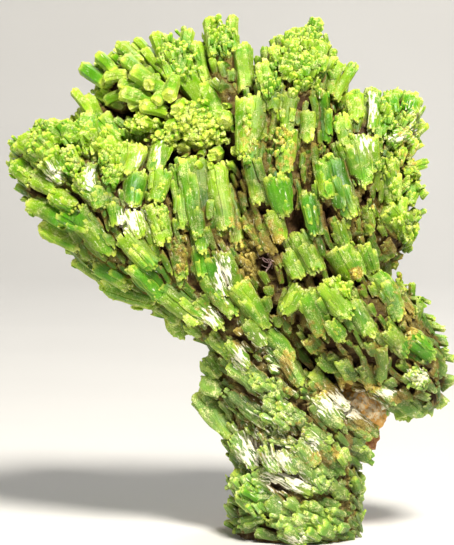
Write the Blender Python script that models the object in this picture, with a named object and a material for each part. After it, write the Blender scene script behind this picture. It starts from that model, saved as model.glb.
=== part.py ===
"""Pyromorphite specimen: a branching cluster of green prismatic crystals, grown together
on a lump of rust-stained matrix and standing on its flat broken-off base.

Metres, +Z up. The origin is the middle of the base, and -Y is the display face.
The front is laid out on an upright plate in millimetres, u to the right and v down.
"""

import math
import random

import bmesh
import bpy
import numpy as np
from mathutils import Vector

MM = 0.001

# The plate's point that becomes the origin: the middle of the base, on the cut.
BASE_U = 29.7
BASE_V = 53.8

# Crystal habit. A section's corners are (degrees round from the outward side, depth factor):
# a free prism is six-sided, and a blade that lies on its limb is rooted along one inner edge.
FREE_SECTION = ((30, 0.87), (90, 0.87), (150, 0.87), (210, 0.87), (270, 0.87), (330, 0.87))
BLADE_SECTION = ((32, 0.76), (90, 1.0), (180, 1.0), (270, 1.0), (328, 0.76))
FREE_GROUPS = ("left spray", "top knot")
END_TAPER = 0.86
LOWER_END_LIFT = 0.55
EMBEDDING = 0.12
STEEPEST_RISE = 0.6
DEPTH_SCAN = (-12.0, 8.0, 0.1)
KEPT_FACES = 0.88

# Crystals on the sides and the back, which follow the limbs by rule
SPACING = 4.6
RULE_LENGTH = (4.8, 7.4)
RULE_WIDTH = (2.4, 3.8)
RULE_SINK = 0.25
LEAN_OUT = 0.55
FRONT_FACING = -0.30
OUTLINE_SLACK = 0.1
CUT_BACKS = (1.0, 0.85, 0.7, 0.55, 0.4)
CLEAR_OF_BASE = 1.5
SURFACE_TRIES = 9000
NEAR_SURFACE = 0.5
PULLS_TO_SURFACE = 4
SLOPE_STEP = 0.05
SEED = 7

# Limb cores, a little below the growth surface that the crystals sit on
CORE_SHARE = 0.88
CORE_SIDES = 8

# Limbs of the cluster: knots of (u, v, y, half width, half depth), from root to tip
LIMBS = {
    "trunk": (
        (29.7, 55.5, 0.4, 6.4, 5.8),
        (29.7, 50.0, 0.3, 6.3, 5.8),
        (30.0, 46.5, 0.3, 5.9, 5.8),
        (29.4, 43.0, 0.0, 6.6, 6.0),
        (27.8, 39.0, 0.0, 6.0, 6.0),
        (26.6, 35.5, 0.0, 5.0, 5.8),
        (25.8, 31.0, -0.3, 4.6, 5.8),
    ),
    "left_fan": (
        (26.0, 33.5, -0.5, 4.2, 5.5),
        (21.5, 29.0, -1.5, 4.8, 6.0),
        (17.0, 25.0, -2.0, 5.6, 6.2),
        (12.0, 21.0, -1.5, 6.2, 6.0),
        (7.0, 17.5, 0.5, 4.8, 5.0),
        (4.6, 16.2, 1.2, 3.0, 3.6),
    ),
    "middle_blades": (
        (24.5, 32.0, -1.5, 3.6, 5.6),
        (22.8, 27.0, -2.5, 3.6, 5.8),
        (21.2, 22.0, -2.5, 3.8, 5.6),
        (20.2, 18.0, -1.5, 3.6, 4.6),
    ),
    "left_spray": (
        (24.0, 22.0, 3.0, 4.5, 5.0),
        (20.5, 15.5, 3.2, 4.6, 5.5),
        (17.0, 10.5, 3.2, 5.0, 5.2),
        (13.4, 8.6, 3.2, 3.4, 4.2),
        (11.4, 8.0, 3.2, 1.8, 2.4),
    ),
    "spray_root": (
        (16.0, 14.6, 2.0, 4.2, 4.6),
        (12.0, 13.2, 1.8, 2.6, 3.6),
        (9.6, 11.6, 1.6, 1.4, 2.2),
    ),
    "top_knot": (
        (24.4, 14.0, 0.5, 3.4, 5.0),
        (23.0, 8.5, 1.2, 2.8, 3.8),
        (22.2, 5.0, 1.5, 1.6, 2.4),
    ),
    "crest": (
        (27.5, 30.0, -1.0, 4.0, 6.5),
        (27.0, 24.0, -1.5, 4.4, 7.0),
        (27.6, 18.0, -2.0, 5.0, 7.0),
        (28.8, 12.0, -1.0, 5.2, 6.0),
        (29.6, 8.0, 0.0, 4.0, 5.0),
        (30.2, 5.4, 0.5, 2.0, 3.0),
    ),
    "right_crest": (
        (30.5, 27.0, -1.5, 4.5, 7.0),
        (33.0, 21.0, -2.0, 5.0, 7.0),
        (35.2, 16.0, -1.0, 4.8, 6.0),
        (38.0, 13.2, 1.0, 3.6, 5.0),
        (40.2, 11.6, 2.0, 1.8, 3.0),
    ),
    "right_flank": (
        (33.0, 27.0, 0.0, 4.5, 6.5),
        (36.8, 22.5, 0.6, 4.2, 6.0),
        (38.2, 17.5, 1.6, 3.0, 5.0),
    ),
    "right_lobe": (
        (28.5, 28.5, -1.0, 4.0, 6.2),
        (32.5, 30.3, -2.0, 5.0, 6.5),
        (36.5, 32.8, -1.8, 5.4, 6.5),
        (39.8, 36.0, -0.5, 4.7, 5.5),
        (41.8, 38.5, 0.4, 2.9, 3.8),
    ),
    "back": (
        (28.5, 32.0, 3.0, 5.2, 6.5),
        (30.5, 24.0, 5.0, 7.5, 7.5),
        (31.5, 16.0, 5.0, 6.5, 6.5),
        (31.0, 11.0, 4.5, 4.0, 4.5),
    ),
}

# Crystals of the display face: (u, v) of the lower end, (u, v) of the upper end, width
# and how far the upper end stands out towards the viewer, all in millimetres.
FACE_CRYSTALS = {
    "left spray": (
        (10.7, 8.5, 8.2, 6.8, 1.7, 0.8),
        (11.6, 7.4, 9.8, 5.5, 1.4, 0.3),
        (9.2, 11.6, 7.3, 9.0, 1.0, 0.0),
        (14.2, 6.4, 11.8, 4.5, 1.4, 0.4),
        (15.4, 5.8, 13.5, 4.0, 1.2, 0.2),
        (17.2, 8.2, 15.5, 3.4, 1.5, 0.2),
        (17.8, 8.2, 16.9, 4.0, 1.4, 0.4),
        (18.0, 8.2, 18.8, 3.1, 1.5, 0.2),
        (20.6, 8.4, 19.7, 4.4, 1.6, 0.2),
        (14.6, 8.8, 11.9, 8.4, 1.3, 1.6),
        (13.2, 9.0, 10.6, 10.2, 1.4, 1.4),
        (12.6, 11.0, 9.7, 9.4, 1.5, 0.8),
        (16.6, 9.2, 13.2, 7.0, 1.7, 2.2),
        (15.6, 8.6, 12.4, 5.9, 1.6, 1.4),
        (17.2, 8.0, 14.6, 5.2, 1.6, 1.6),
        (15.4, 10.4, 12.2, 9.2, 1.7, 2.4),
        (18.6, 8.8, 16.6, 5.6, 1.6, 1.4),
        (16.8, 11.2, 14.2, 10.4, 1.6, 2.6),
        (15.2, 9.6, 12.9, 10.7, 1.3, 2.0),
        (15.8, 7.8, 14.8, 8.6, 1.3, 2.4),
        (16.9, 8.6, 15.6, 10.4, 1.4, 2.2),
        (17.6, 7.8, 17.0, 9.8, 1.6, 2.2),
        (12.8, 7.6, 10.5, 7.9, 1.4, 1.4),
        (10.8, 13.2, 8.8, 9.8, 1.6, 0.2),
        (9.8, 13.4, 7.9, 11.2, 1.5, 0.0),
        (12.2, 14.0, 10.4, 11.6, 1.7, 0.4),
        (19.8, 10.0, 18.4, 6.2, 1.9, 0.6),
        (17.9, 12.2, 17.0, 13.2, 1.9, 2.0),
        (20.2, 10.8, 19.7, 11.7, 2.0, 1.8),
        (18.4, 10.4, 17.8, 11.3, 1.8, 2.0),
        (18.8, 14.4, 18.3, 15.0, 1.7, 1.4),
        (22.6, 11.4, 22.5, 12.4, 1.8, 1.6),
        (15.0, 12.6, 13.9, 12.0, 2.2, 2.0),
        (19.4, 12.4, 18.2, 12.9, 2.4, 2.0),
        (21.2, 12.8, 20.8, 13.6, 2.6, 2.2),
        (22.0, 15.0, 21.4, 15.6, 1.6, 1.6),
        (20.6, 11.0, 18.2, 7.4, 2.6, 0.8),
        (22.2, 12.0, 20.4, 8.6, 2.4, 0.8),
    ),
    "top knot": (
        (21.4, 5.8, 20.8, 1.9, 1.4, 0.0),
        (22.6, 5.8, 22.2, 2.8, 1.3, 0.3),
        (23.4, 5.4, 23.2, 1.7, 1.3, 0.0),
        (24.6, 9.2, 24.2, 4.8, 2.4, 0.4),
    ),
    "left fan": (
        (4.8, 16.0, 2.2, 14.0, 2.2, 0.8),
        (3.8, 18.2, 1.6, 16.4, 2.2, 0.8),
        (6.0, 14.8, 4.6, 12.6, 2.0, 0.5),
        (7.4, 14.4, 6.6, 12.1, 1.4, 0.2),
        (9.4, 15.6, 8.8, 11.6, 2.2, 0.6),
        (6.8, 18.2, 4.8, 16.2, 1.3, 0.6),
        (6.2, 19.0, 3.4, 17.4, 1.8, 0.4),
        (5.0, 21.0, 3.2, 19.6, 1.6, 0.0),
        (8.6, 19.2, 9.8, 16.2, 1.5, 0.3),
        (11.2, 18.4, 12.6, 14.6, 2.2, 0.5),
        (13.6, 20.6, 14.0, 17.0, 2.4, 0.3),
        (15.4, 17.4, 16.6, 13.4, 2.0, 0.4),
        (15.6, 20.2, 16.4, 16.8, 2.0, 0.2),
        (16.6, 24.2, 15.6, 20.2, 2.4, 0.2),
        (7.0, 22.2, 3.4, 20.2, 2.2, 0.4),
        (8.4, 24.6, 4.5, 22.6, 1.8, -0.2),
        (11.4, 28.2, 7.6, 25.4, 2.0, 0.0),
        (11.6, 25.2, 8.2, 20.4, 2.5, 0.3),
        (9.4, 25.9, 7.6, 21.6, 2.0, -0.3),
        (13.6, 28.4, 9.8, 26.0, 2.1, 0.0),
        (16.0, 29.8, 10.8, 28.2, 2.0, -0.4),
        (16.8, 29.6, 13.4, 25.4, 2.6, 0.4),
        (16.0, 26.4, 12.6, 22.8, 2.4, 0.2),
        (20.4, 31.4, 16.0, 28.2, 2.6, 0.2),
        (18.2, 31.8, 13.4, 28.6, 1.8, -0.4),
        (18.4, 33.6, 17.2, 31.6, 1.7, -0.2),
        (20.0, 33.2, 18.8, 31.6, 1.7, 0.2),
        (10.4, 20.8, 10.0, 18.6, 2.0, 0.2),
        (12.0, 22.4, 11.6, 19.8, 1.8, 0.2),
        (8.2, 17.6, 6.8, 14.8, 1.9, 0.9),
        (6.8, 17.0, 4.8, 15.2, 1.9, 1.0),
        (10.2, 19.6, 8.0, 17.8, 2.0, 0.8),
        (8.2, 20.8, 5.6, 19.2, 1.9, 0.4),
        (11.0, 17.0, 10.8, 13.6, 1.9, 0.3),
        (13.0, 17.4, 14.0, 14.4, 1.6, 0.2),
        (9.4, 22.6, 6.4, 21.2, 1.8, 0.2),
        (14.4, 23.6, 13.4, 20.6, 1.9, 0.2),
    ),
    "middle blades": (
        (20.6, 24.9, 19.4, 15.7, 3.2, 0.2),
        (22.6, 22.8, 21.4, 16.2, 2.3, 0.1),
        (23.8, 24.6, 22.8, 18.6, 1.6, -0.2),
        (20.5, 27.3, 20.0, 24.0, 2.2, 0.0),
        (18.4, 22.8, 17.8, 16.4, 1.8, 0.0),
        (18.4, 27.6, 17.6, 23.2, 1.8, -0.4),
        (22.6, 29.4, 21.0, 25.2, 1.6, 0.0),
        (24.0, 29.2, 22.2, 24.6, 1.5, 0.1),
        (26.8, 32.2, 23.4, 27.4, 2.5, 0.2),
        (23.6, 31.2, 20.4, 26.8, 1.7, 0.1),
        (22.2, 32.2, 19.4, 29.2, 1.6, 0.2),
        (23.4, 35.4, 21.0, 32.8, 1.7, 0.0),
        (24.8, 36.3, 22.8, 33.4, 1.5, 0.2),
        (26.4, 33.8, 24.4, 31.2, 1.8, 0.2),
    ),
    "crest": (
        (24.8, 16.4, 25.6, 9.7, 3.3, 0.2),
        (26.8, 9.6, 26.2, 6.4, 1.7, 0.4),
        (27.2, 11.4, 27.6, 7.9, 1.8, 0.2),
        (28.4, 13.6, 28.9, 9.4, 1.8, 0.2),
        (28.2, 17.2, 28.6, 12.6, 2.2, 0.0),
        (30.4, 14.2, 30.4, 11.0, 1.6, 0.2),
        (32.3, 14.4, 31.7, 9.1, 1.9, 0.4),
        (33.9, 11.0, 33.0, 8.0, 2.0, 0.2),
        (30.0, 7.4, 31.6, 2.1, 1.5, 0.2),
        (29.2, 6.6, 28.9, 2.9, 1.8, 0.2),
        (27.6, 6.8, 27.4, 3.9, 1.6, 0.2),
        (28.4, 8.2, 29.6, 5.6, 2.4, 0.6),
        (31.4, 7.4, 31.8, 4.4, 2.0, 0.2),
        (32.8, 9.8, 33.9, 6.2, 1.2, 0.0),
        (33.2, 10.2, 35.3, 6.5, 1.2, 0.0),
        (25.8, 20.2, 25.0, 15.8, 1.8, 0.2),
        (28.4, 21.4, 27.2, 17.0, 2.5, 0.4),
        (28.0, 24.0, 27.0, 20.4, 1.9, 0.1),
        (31.2, 23.3, 30.4, 18.8, 1.7, 0.6),
        (26.8, 24.6, 23.8, 19.6, 1.0, -0.4),
        (28.0, 26.4, 25.2, 21.6, 1.1, -0.6),
    ),
    "right crest": (
        (34.8, 21.6, 32.6, 15.3, 2.8, 0.4),
        (34.2, 24.2, 33.2, 21.4, 1.6, 0.0),
        (32.6, 19.8, 31.8, 15.6, 1.8, -0.2),
        (36.0, 18.6, 34.8, 13.4, 2.8, 0.3),
        (36.8, 13.2, 37.2, 9.0, 1.3, 0.2),
        (35.6, 12.4, 35.2, 9.2, 1.8, 0.1),
        (38.8, 20.2, 38.4, 15.4, 2.8, 0.3),
        (39.2, 11.6, 38.6, 9.4, 1.6, 0.3),
        (40.6, 11.8, 41.2, 9.6, 2.0, 0.4),
        (39.0, 14.0, 40.8, 11.4, 1.8, 0.6),
        (38.4, 13.8, 40.6, 13.6, 1.2, 0.6),
        (40.0, 17.2, 42.6, 16.2, 1.0, 0.0),
        (40.0, 16.0, 41.2, 14.0, 1.8, 0.2),
        (40.2, 23.4, 37.8, 20.6, 2.6, 0.6),
        (36.6, 23.0, 36.0, 20.2, 1.8, 0.4),
        (40.4, 20.6, 41.4, 18.2, 2.0, 0.0),
        (40.8, 24.0, 41.2, 22.0, 1.8, 0.0),
        (39.2, 25.4, 37.8, 23.8, 1.6, 0.4),
        (36.8, 27.0, 35.4, 23.8, 2.2, 0.0),
        (37.0, 17.2, 36.5, 13.6, 1.9, 0.5),
        (37.6, 14.0, 38.2, 10.8, 1.6, 0.4),
        (38.8, 16.8, 39.8, 14.4, 1.6, 0.5),
        (34.4, 14.8, 34.0, 11.4, 1.8, 0.3),
        (39.2, 22.4, 39.6, 19.4, 1.8, 0.3),
    ),
    "right lobe": (
        (31.4, 27.0, 29.4, 22.8, 2.9, 0.2),
        (35.2, 27.4, 33.2, 23.8, 3.0, 0.2),
        (29.8, 27.4, 28.4, 24.6, 1.8, 0.0),
        (39.6, 31.8, 36.9, 27.3, 3.1, 0.1),
        (41.2, 31.4, 39.0, 27.8, 1.7, -0.4),
        (34.8, 31.2, 32.0, 27.6, 3.0, 0.2),
        (28.2, 30.9, 30.0, 27.8, 2.0, 0.2),
        (32.2, 33.2, 30.2, 28.2, 2.1, 0.2),
        (36.8, 33.0, 34.8, 29.4, 2.0, 0.0),
        (34.0, 33.4, 32.6, 31.2, 1.8, 0.2),
        (40.4, 34.8, 37.8, 32.0, 2.0, 0.3),
        (43.0, 35.4, 39.8, 32.8, 2.2, 0.2),
        (44.2, 37.4, 41.6, 35.2, 2.6, 0.2),
        (33.4, 36.6, 31.8, 34.8, 1.9, 0.2),
        (35.4, 37.6, 33.8, 35.0, 1.6, 0.4),
        (37.2, 38.5, 35.8, 35.4, 1.7, 0.2),
        (38.0, 37.6, 37.6, 33.8, 1.4, 0.3),
        (42.0, 38.0, 40.2, 36.2, 2.2, 0.2),
        (39.8, 39.8, 37.4, 37.8, 1.7, 0.4),
        (42.4, 41.2, 39.2, 38.4, 2.6, 0.0),
        (41.2, 41.6, 38.6, 39.4, 2.0, -0.2),
        (43.6, 40.8, 42.4, 38.4, 1.8, -0.2),
        (31.6, 34.8, 30.4, 32.8, 1.5, 0.2),
    ),
    "trunk": (
        (29.2, 35.8, 26.2, 32.2, 1.9, -0.2),
        (30.0, 38.0, 27.4, 34.4, 1.8, -0.2),
        (22.2, 37.6, 20.6, 35.8, 2.2, 0.0),
        (22.4, 39.2, 20.2, 37.8, 1.9, 0.2),
        (26.7, 38.6, 23.2, 35.8, 2.5, 0.2),
        (34.6, 40.6, 30.6, 37.2, 2.4, -0.2),
        (23.4, 43.6, 19.8, 39.6, 2.1, 0.2),
        (27.6, 42.4, 22.8, 38.4, 2.1, 0.2),
        (34.0, 42.4, 31.2, 39.0, 2.2, 0.2),
        (33.0, 44.6, 30.2, 42.0, 2.0, 0.3),
        (31.6, 46.0, 29.2, 43.4, 1.8, 0.3),
        (34.4, 46.2, 32.6, 44.2, 1.7, 0.1),
        (30.6, 41.7, 26.4, 39.4, 2.2, 0.3),
        (25.8, 46.6, 23.6, 43.0, 2.1, 0.4),
        (28.0, 46.8, 26.0, 43.8, 1.8, 0.4),
        (29.4, 46.8, 27.8, 44.4, 1.4, 0.3),
        (31.4, 48.6, 25.8, 46.6, 1.6, 0.3),
        (32.2, 48.0, 28.8, 44.6, 1.7, 0.2),
        (34.4, 47.0, 30.6, 43.6, 1.6, 0.0),
        (37.2, 46.0, 33.4, 43.4, 2.1, 0.2),
        (37.6, 43.6, 34.4, 41.2, 2.2, -0.4),
        (26.0, 50.6, 23.6, 47.4, 2.6, 0.2),
        (26.8, 51.0, 24.0, 52.2, 1.5, 0.6),
        (28.6, 50.8, 26.6, 49.4, 1.6, 0.4),
        (29.8, 50.8, 28.6, 49.2, 1.4, 0.4),
        (33.0, 51.2, 29.8, 49.8, 1.8, 0.4),
        (34.8, 49.4, 32.2, 47.6, 1.8, 0.2),
        (36.2, 49.2, 34.6, 47.4, 1.5, 0.2),
        (36.2, 50.2, 34.8, 49.0, 1.4, 0.3),
        (36.2, 52.0, 33.2, 50.6, 1.7, 0.3),
        (30.4, 53.8, 27.8, 52.2, 1.6, 0.2),
        (35.6, 53.8, 31.6, 52.4, 1.7, 0.2),
        (31.6, 52.6, 26.6, 51.2, 1.5, 0.2),
    ),
}

# Matrix: broken chunks behind and beside the trunk, as (u, v, y) of the middle and half
# the width, depth and height. Each is angular, the hull of a few points around it.
MATRIX_CHUNKS = (
    (29.4, 49.0, 6.8, 6.4, 4.0, 8.6),
    (30.2, 43.4, 6.4, 8.8, 4.6, 5.0),
    (35.2, 41.2, 2.2, 3.9, 4.6, 3.2),
    (31.4, 38.8, 6.0, 5.2, 3.6, 3.6),
)
CHUNK_CORNERS = 22
CHUNK_ROUGHNESS = 0.12
GAP = 0.42
CLEAR_OF_MATRIX = 1.15

# Ground cutter: its side, which is wider than the specimen, and its depth
CUTTER_SIDE = 0.2
CUTTER_DEPTH = 0.04


def to_space(point):
    """A point (u, v, y) of the layout in millimetres, as a place in metres."""
    u, v, y = point
    return Vector(((u - BASE_U) * MM, y * MM, (BASE_V - v) * MM))


def limb_reach(knots, points):
    """How far out each (u, v, y) point lies on a limb: under 1 is inside, 1 is its surface."""
    knots = np.array(knots)
    best = np.full(len(points), 1e9)
    for a, b in zip(knots[:-1], knots[1:]):
        along = b[:2] - a[:2]
        t = np.clip((points[:, :2] - a[:2]) @ along / (along @ along), 0, 1)
        here = a + t[:, None] * (b - a)
        across = np.linalg.norm(points[:, :2] - here[:, :2], axis=1) / here[:, 3]
        deep = (points[:, 2] - here[:, 2]) / here[:, 4]
        best = np.minimum(best, np.sqrt(across**2 + deep**2))
    return best


def reach(points):
    """The least reach over all limbs, so 1 is the growth surface of the whole cluster."""
    return np.min([limb_reach(knots, points) for knots in LIMBS.values()], axis=0)


def slope_of(points):
    """The gradient of reach, which points straight out of the cluster."""
    columns = []
    for axis in range(3):
        shift = np.zeros(3)
        shift[axis] = SLOPE_STEP
        columns.append((reach(points + shift) - reach(points - shift)) / (2 * SLOPE_STEP))
    return np.stack(columns, axis=1)


def outline_gap(point):
    """How far a point lies outside the limbs' outline, seen from the front; inside is negative."""
    nearest = math.inf
    for knots in LIMBS.values():
        knots = np.array(knots)
        for a, b in zip(knots[:-1], knots[1:]):
            along = b[:2] - a[:2]
            t = np.clip((point[:2] - a[:2]) @ along / (along @ along), 0, 1)
            here = a + t * (b - a)
            nearest = min(nearest, math.dist(point[:2], here[:2]) - here[3])
    return nearest


def front_depth(u, v):
    """The y of the growth surface at (u, v), seen from the display side."""
    depths = np.arange(*DEPTH_SCAN)
    line = np.stack([np.full_like(depths, u), np.full_like(depths, v), depths], axis=1)
    reaches = reach(line)
    inside = np.flatnonzero(reaches < 1)
    return depths[inside[0]] if len(inside) else depths[np.argmin(reaches)]


def face_crystals():
    """The display face's crystals, as (lower end, upper end, outward, width, section)."""
    grown = []
    for name, group in FACE_CRYSTALS.items():
        section = FREE_SECTION if name in FREE_GROUPS else BLADE_SECTION
        for u0, v0, u1, v1, width, rise in group:
            sunk = EMBEDDING * width
            low = np.array([u0, v0, front_depth(u0, v0) + sunk - LOWER_END_LIFT])
            high = np.array([u1, v1, front_depth(u1, v1) + sunk - rise])
            steepest = STEEPEST_RISE * math.hypot(u1 - u0, v1 - v0) + abs(rise)
            high[2] = np.clip(high[2], low[2] - steepest, low[2] + steepest)
            grown.append((low, high, np.array([0.0, 0.0, -1.0]), width, section))
    return grown


def limb_direction(point):
    """The way the nearest limb grows at a point, from its root to its tip."""
    best = None
    for knots in LIMBS.values():
        knots = np.array(knots)
        for a, b in zip(knots[:-1], knots[1:]):
            far = limb_reach((a, b), point[None])[0]
            if best is None or far < best[0]:
                best = (far, b[:3] - a[:3])
    return best[1] / np.linalg.norm(best[1])


def in_matrix(point):
    """True for a point of the growth surface that the matrix covers."""
    for u, v, y, wide, deep, tall in MATRIX_CHUNKS:
        offset = (point - np.array([u, v, y])) / np.array([wide, tall, deep])
        if np.linalg.norm(offset) < CLEAR_OF_MATRIX:
            return True
    return False


def surface_points(rng):
    """Points thrown into the limbs' box and drawn onto the growth surface, with the way out."""
    knots = np.concatenate([np.array(limb) for limb in LIMBS.values()])
    margin = knots[:, 3:].max()
    lows = knots[:, :3].min(axis=0) - margin
    highs = knots[:, :3].max(axis=0) + margin
    tries = np.array(
        [[rng.uniform(a, b) for a, b in zip(lows, highs)] for _ in range(SURFACE_TRIES)]
    )
    tries = tries[np.abs(reach(tries) - 1) < NEAR_SURFACE]
    for _ in range(PULLS_TO_SURFACE):
        slope = slope_of(tries)
        tries = tries - ((reach(tries) - 1) / (slope**2).sum(1))[:, None] * slope
    slope = slope_of(tries)
    return zip(tries, slope / np.linalg.norm(slope, axis=1)[:, None])


def rule_crystals(rng):
    """Crystals on the sides and the back, evenly spread over the growth surface."""
    kept = []
    grown = []
    for point, out in surface_points(rng):
        if out[2] < FRONT_FACING or point[1] > BASE_V - CLEAR_OF_BASE or in_matrix(point):
            continue
        if kept and np.min(np.linalg.norm(np.array(kept) - point, axis=1)) < SPACING:
            continue
        axis = limb_direction(point) + LEAN_OUT * out
        axis /= np.linalg.norm(axis)
        length = rng.uniform(*RULE_LENGTH)
        width = rng.uniform(*RULE_WIDTH)
        middle = point - RULE_SINK * width * out
        for share in CUT_BACKS:
            high = middle + (share - 0.5) * length * axis
            if outline_gap(high) < OUTLINE_SLACK:
                kept.append(point)
                grown.append((middle - 0.5 * length * axis, high, out, width, BLADE_SECTION))
                break
    return grown


def add_prism(bm, low, high, outward, width, section):
    """A prism of a given section with a flat side turned outward, slimmer at its lower end."""
    ends = [to_space(low), to_space(high)]
    axis = (ends[1] - ends[0]).normalized()
    out = to_space(low + outward) - to_space(low)
    out = (out - axis * out.dot(axis)).normalized()
    side = axis.cross(out)
    half = 0.5 * width * MM
    rings = []
    for place, size in ((ends[0], END_TAPER), (ends[1], 1.0)):
        ring = []
        for degrees, share in section:
            angle = math.radians(degrees)
            deep = out * math.cos(angle) * share
            wide = side * math.sin(angle)
            ring.append(bm.verts.new(place + (deep + wide) * half * size))
        rings.append(ring)
    close_rings(bm, rings)


def add_limb(bm, knots):
    """A closed lofted body through a limb's knots, as an ellipse at each."""
    knots = [np.array(knot) for knot in knots]
    rings = []
    for i, knot in enumerate(knots):
        before, after = knots[max(i - 1, 0)], knots[min(i + 1, len(knots) - 1)]
        along = (after - before)[:2] / np.linalg.norm((after - before)[:2])
        across = np.array([-along[1], along[0]])
        ring = []
        for k in range(CORE_SIDES):
            angle = 2 * math.pi * k / CORE_SIDES
            flat = knot[:2] + across * math.cos(angle) * knot[3] * CORE_SHARE
            deep = knot[2] + math.sin(angle) * knot[4] * CORE_SHARE
            ring.append(bm.verts.new(to_space((flat[0], flat[1], deep))))
        rings.append(ring)
    close_rings(bm, rings)


def close_rings(bm, rings):
    """Joins rings of vertices side to side, with a flat face on each end."""
    sides = len(rings[0])
    for lower, upper in zip(rings[:-1], rings[1:]):
        for k in range(sides):
            n = (k + 1) % sides
            bm.faces.new((lower[k], lower[n], upper[n], upper[k]))
    bm.faces.new(rings[0][::-1])
    bm.faces.new(rings[-1])


def add_chunk(bm, chunk, rng, grow=0.0):
    """An angular chunk: the hull of points spread over an ellipsoid, grow further out."""
    u, v, y, wide, deep, tall = chunk
    corners = []
    for k in range(CHUNK_CORNERS):
        height = 1 - 2 * (k + 0.5) / CHUNK_CORNERS
        angle = k * math.pi * (3 - math.sqrt(5))
        flat = math.sqrt(1 - height**2)
        way = np.array([flat * math.cos(angle), height, flat * math.sin(angle)])
        rough = 1 + rng.uniform(-CHUNK_ROUGHNESS, CHUNK_ROUGHNESS)
        corner = np.array([u, v, y]) + way * (np.array([wide, tall, deep]) * rough + grow)
        corners.append(bm.verts.new(to_space(corner)))
    hull = bmesh.ops.convex_hull(bm, input=corners)
    bmesh.ops.delete(bm, geom=hull["geom_interior"], context="VERTS")


def mesh_object(name, bm):
    """A named object that holds the closed bodies of bm, with their faces turned out."""
    bmesh.ops.recalc_face_normals(bm, faces=bm.faces)
    mesh = bpy.data.meshes.new(name)
    bm.to_mesh(mesh)
    bm.free()
    made = bpy.data.objects.new(name, mesh)
    bpy.context.scene.collection.objects.link(made)
    return made


def helper(made):
    """Marks an object as a cutter or operand, which is no piece of the specimen."""
    made.hide_render = True
    made.display_type = "WIRE"
    return made


def combine(made, other, operation, overlapping=False):
    """Adds a Boolean with another object; overlapping bodies in made are fused too."""
    cut = made.modifiers.new(operation.lower(), "BOOLEAN")
    cut.object = other
    cut.operation = operation
    cut.solver = "EXACT"
    cut.use_self = overlapping


def apply_modifiers(made):
    """Replaces the object's mesh by its evaluated one."""
    graph = bpy.context.evaluated_depsgraph_get()
    mesh = bpy.data.meshes.new_from_object(made.evaluated_get(graph))
    made.modifiers.clear()
    made.data = mesh


def drop_chips(made):
    """Keeps the largest connected body, so that a chip cut loose is gone."""
    bm = bmesh.new()
    bm.from_mesh(made.data)
    bmesh.ops.triangulate(bm, faces=bm.faces)
    unseen = set(bm.verts)
    bodies = []
    while unseen:
        body = {unseen.pop()}
        edge_of_body = list(body)
        while edge_of_body:
            vert = edge_of_body.pop()
            for edge in vert.link_edges:
                other = edge.other_vert(vert)
                if other in unseen:
                    unseen.discard(other)
                    body.add(other)
                    edge_of_body.append(other)
        bodies.append(body)
    bodies.sort(key=len, reverse=True)
    for chip in bodies[1:]:
        bmesh.ops.delete(bm, geom=list(chip), context="VERTS")
    bm.to_mesh(made.data)
    bm.free()


def ground_cutter():
    """A block below the base, which cuts the specimen off flat at z = 0."""
    bm = bmesh.new()
    bmesh.ops.create_cube(bm, size=1.0)
    for vert in bm.verts:
        x, y, z = vert.co
        vert.co = Vector((x * CUTTER_SIDE, y * CUTTER_SIDE, (z - 0.5) * CUTTER_DEPTH))
    return helper(mesh_object("ground_cutter", bm))


def fused_chunks(name, grow):
    """The matrix's chunks as one body, each grow further out all round."""
    rng = random.Random(SEED)
    bodies = []
    for chunk in MATRIX_CHUNKS:
        bm = bmesh.new()
        add_chunk(bm, chunk, rng, grow)
        bodies.append(mesh_object(f"{name}_{len(bodies)}", bm))
    lump = bodies[0]
    lump.name = name
    for body in bodies[1:]:
        combine(lump, helper(body), "UNION")
    apply_modifiers(lump)
    return lump


def principled(name, colour, roughness):
    """A plain Principled material."""
    made = bpy.data.materials.new(name)
    made.use_nodes = True
    shader = made.node_tree.nodes["Principled BSDF"]
    shader.inputs["Base Color"].default_value = (*colour, 1.0)
    shader.inputs["Roughness"].default_value = roughness
    shader.inputs["Metallic"].default_value = 0.0
    return made


def build_crystals(ground):
    """The whole cluster as one body: every crystal fused with the limbs it grows from."""
    bm = bmesh.new()
    for crystal in face_crystals() + rule_crystals(random.Random(SEED)):
        add_prism(bm, *crystal)
    crystals = mesh_object("crystal_cluster", bm)
    bm = bmesh.new()
    for knots in LIMBS.values():
        add_limb(bm, knots)
    cores = helper(mesh_object("limb_cores", bm))
    combine(crystals, cores, "UNION", overlapping=True)
    apply_modifiers(crystals)
    combine(crystals, helper(fused_chunks("matrix_pocket", GAP)), "DIFFERENCE")
    combine(crystals, ground, "DIFFERENCE")
    apply_modifiers(crystals)
    drop_chips(crystals)
    sparing = crystals.modifiers.new("sparing", "DECIMATE")
    sparing.ratio = KEPT_FACES
    crystals.data.materials.clear()
    crystals.data.materials.append(principled("pyromorphite", (0.28, 0.42, 0.06), 0.35))


def build_matrix(ground):
    """The rust-stained rock behind and beside the trunk."""
    matrix = fused_chunks("rusty_matrix", 0.0)
    combine(matrix, ground, "DIFFERENCE")
    apply_modifiers(matrix)
    matrix.data.materials.append(principled("iron_stained_rock", (0.34, 0.17, 0.07), 0.9))


def main():
    for old in list(bpy.data.objects):
        bpy.data.objects.remove(old)
    ground = ground_cutter()
    build_crystals(ground)
    build_matrix(ground)


main()
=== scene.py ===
"""Pyromorphite specimen: the visible surface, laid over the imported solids.

Every crystal that was placed on the display face becomes a ribbed blade or prism with ragged
ends. The sides and the back carry blades by rule, smaller crystals fill the gaps, and a druse of
tiny prisms sits on rims and in patches. Lengths are in millimetres until a mesh is made.
"""

import math
import random
from collections import namedtuple

import bmesh
import bpy
import numpy as np
from bpy.props import FloatProperty, FloatVectorProperty, IntProperty, PointerProperty
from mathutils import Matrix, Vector, noise
from mathutils.bvhtree import BVHTree


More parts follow.
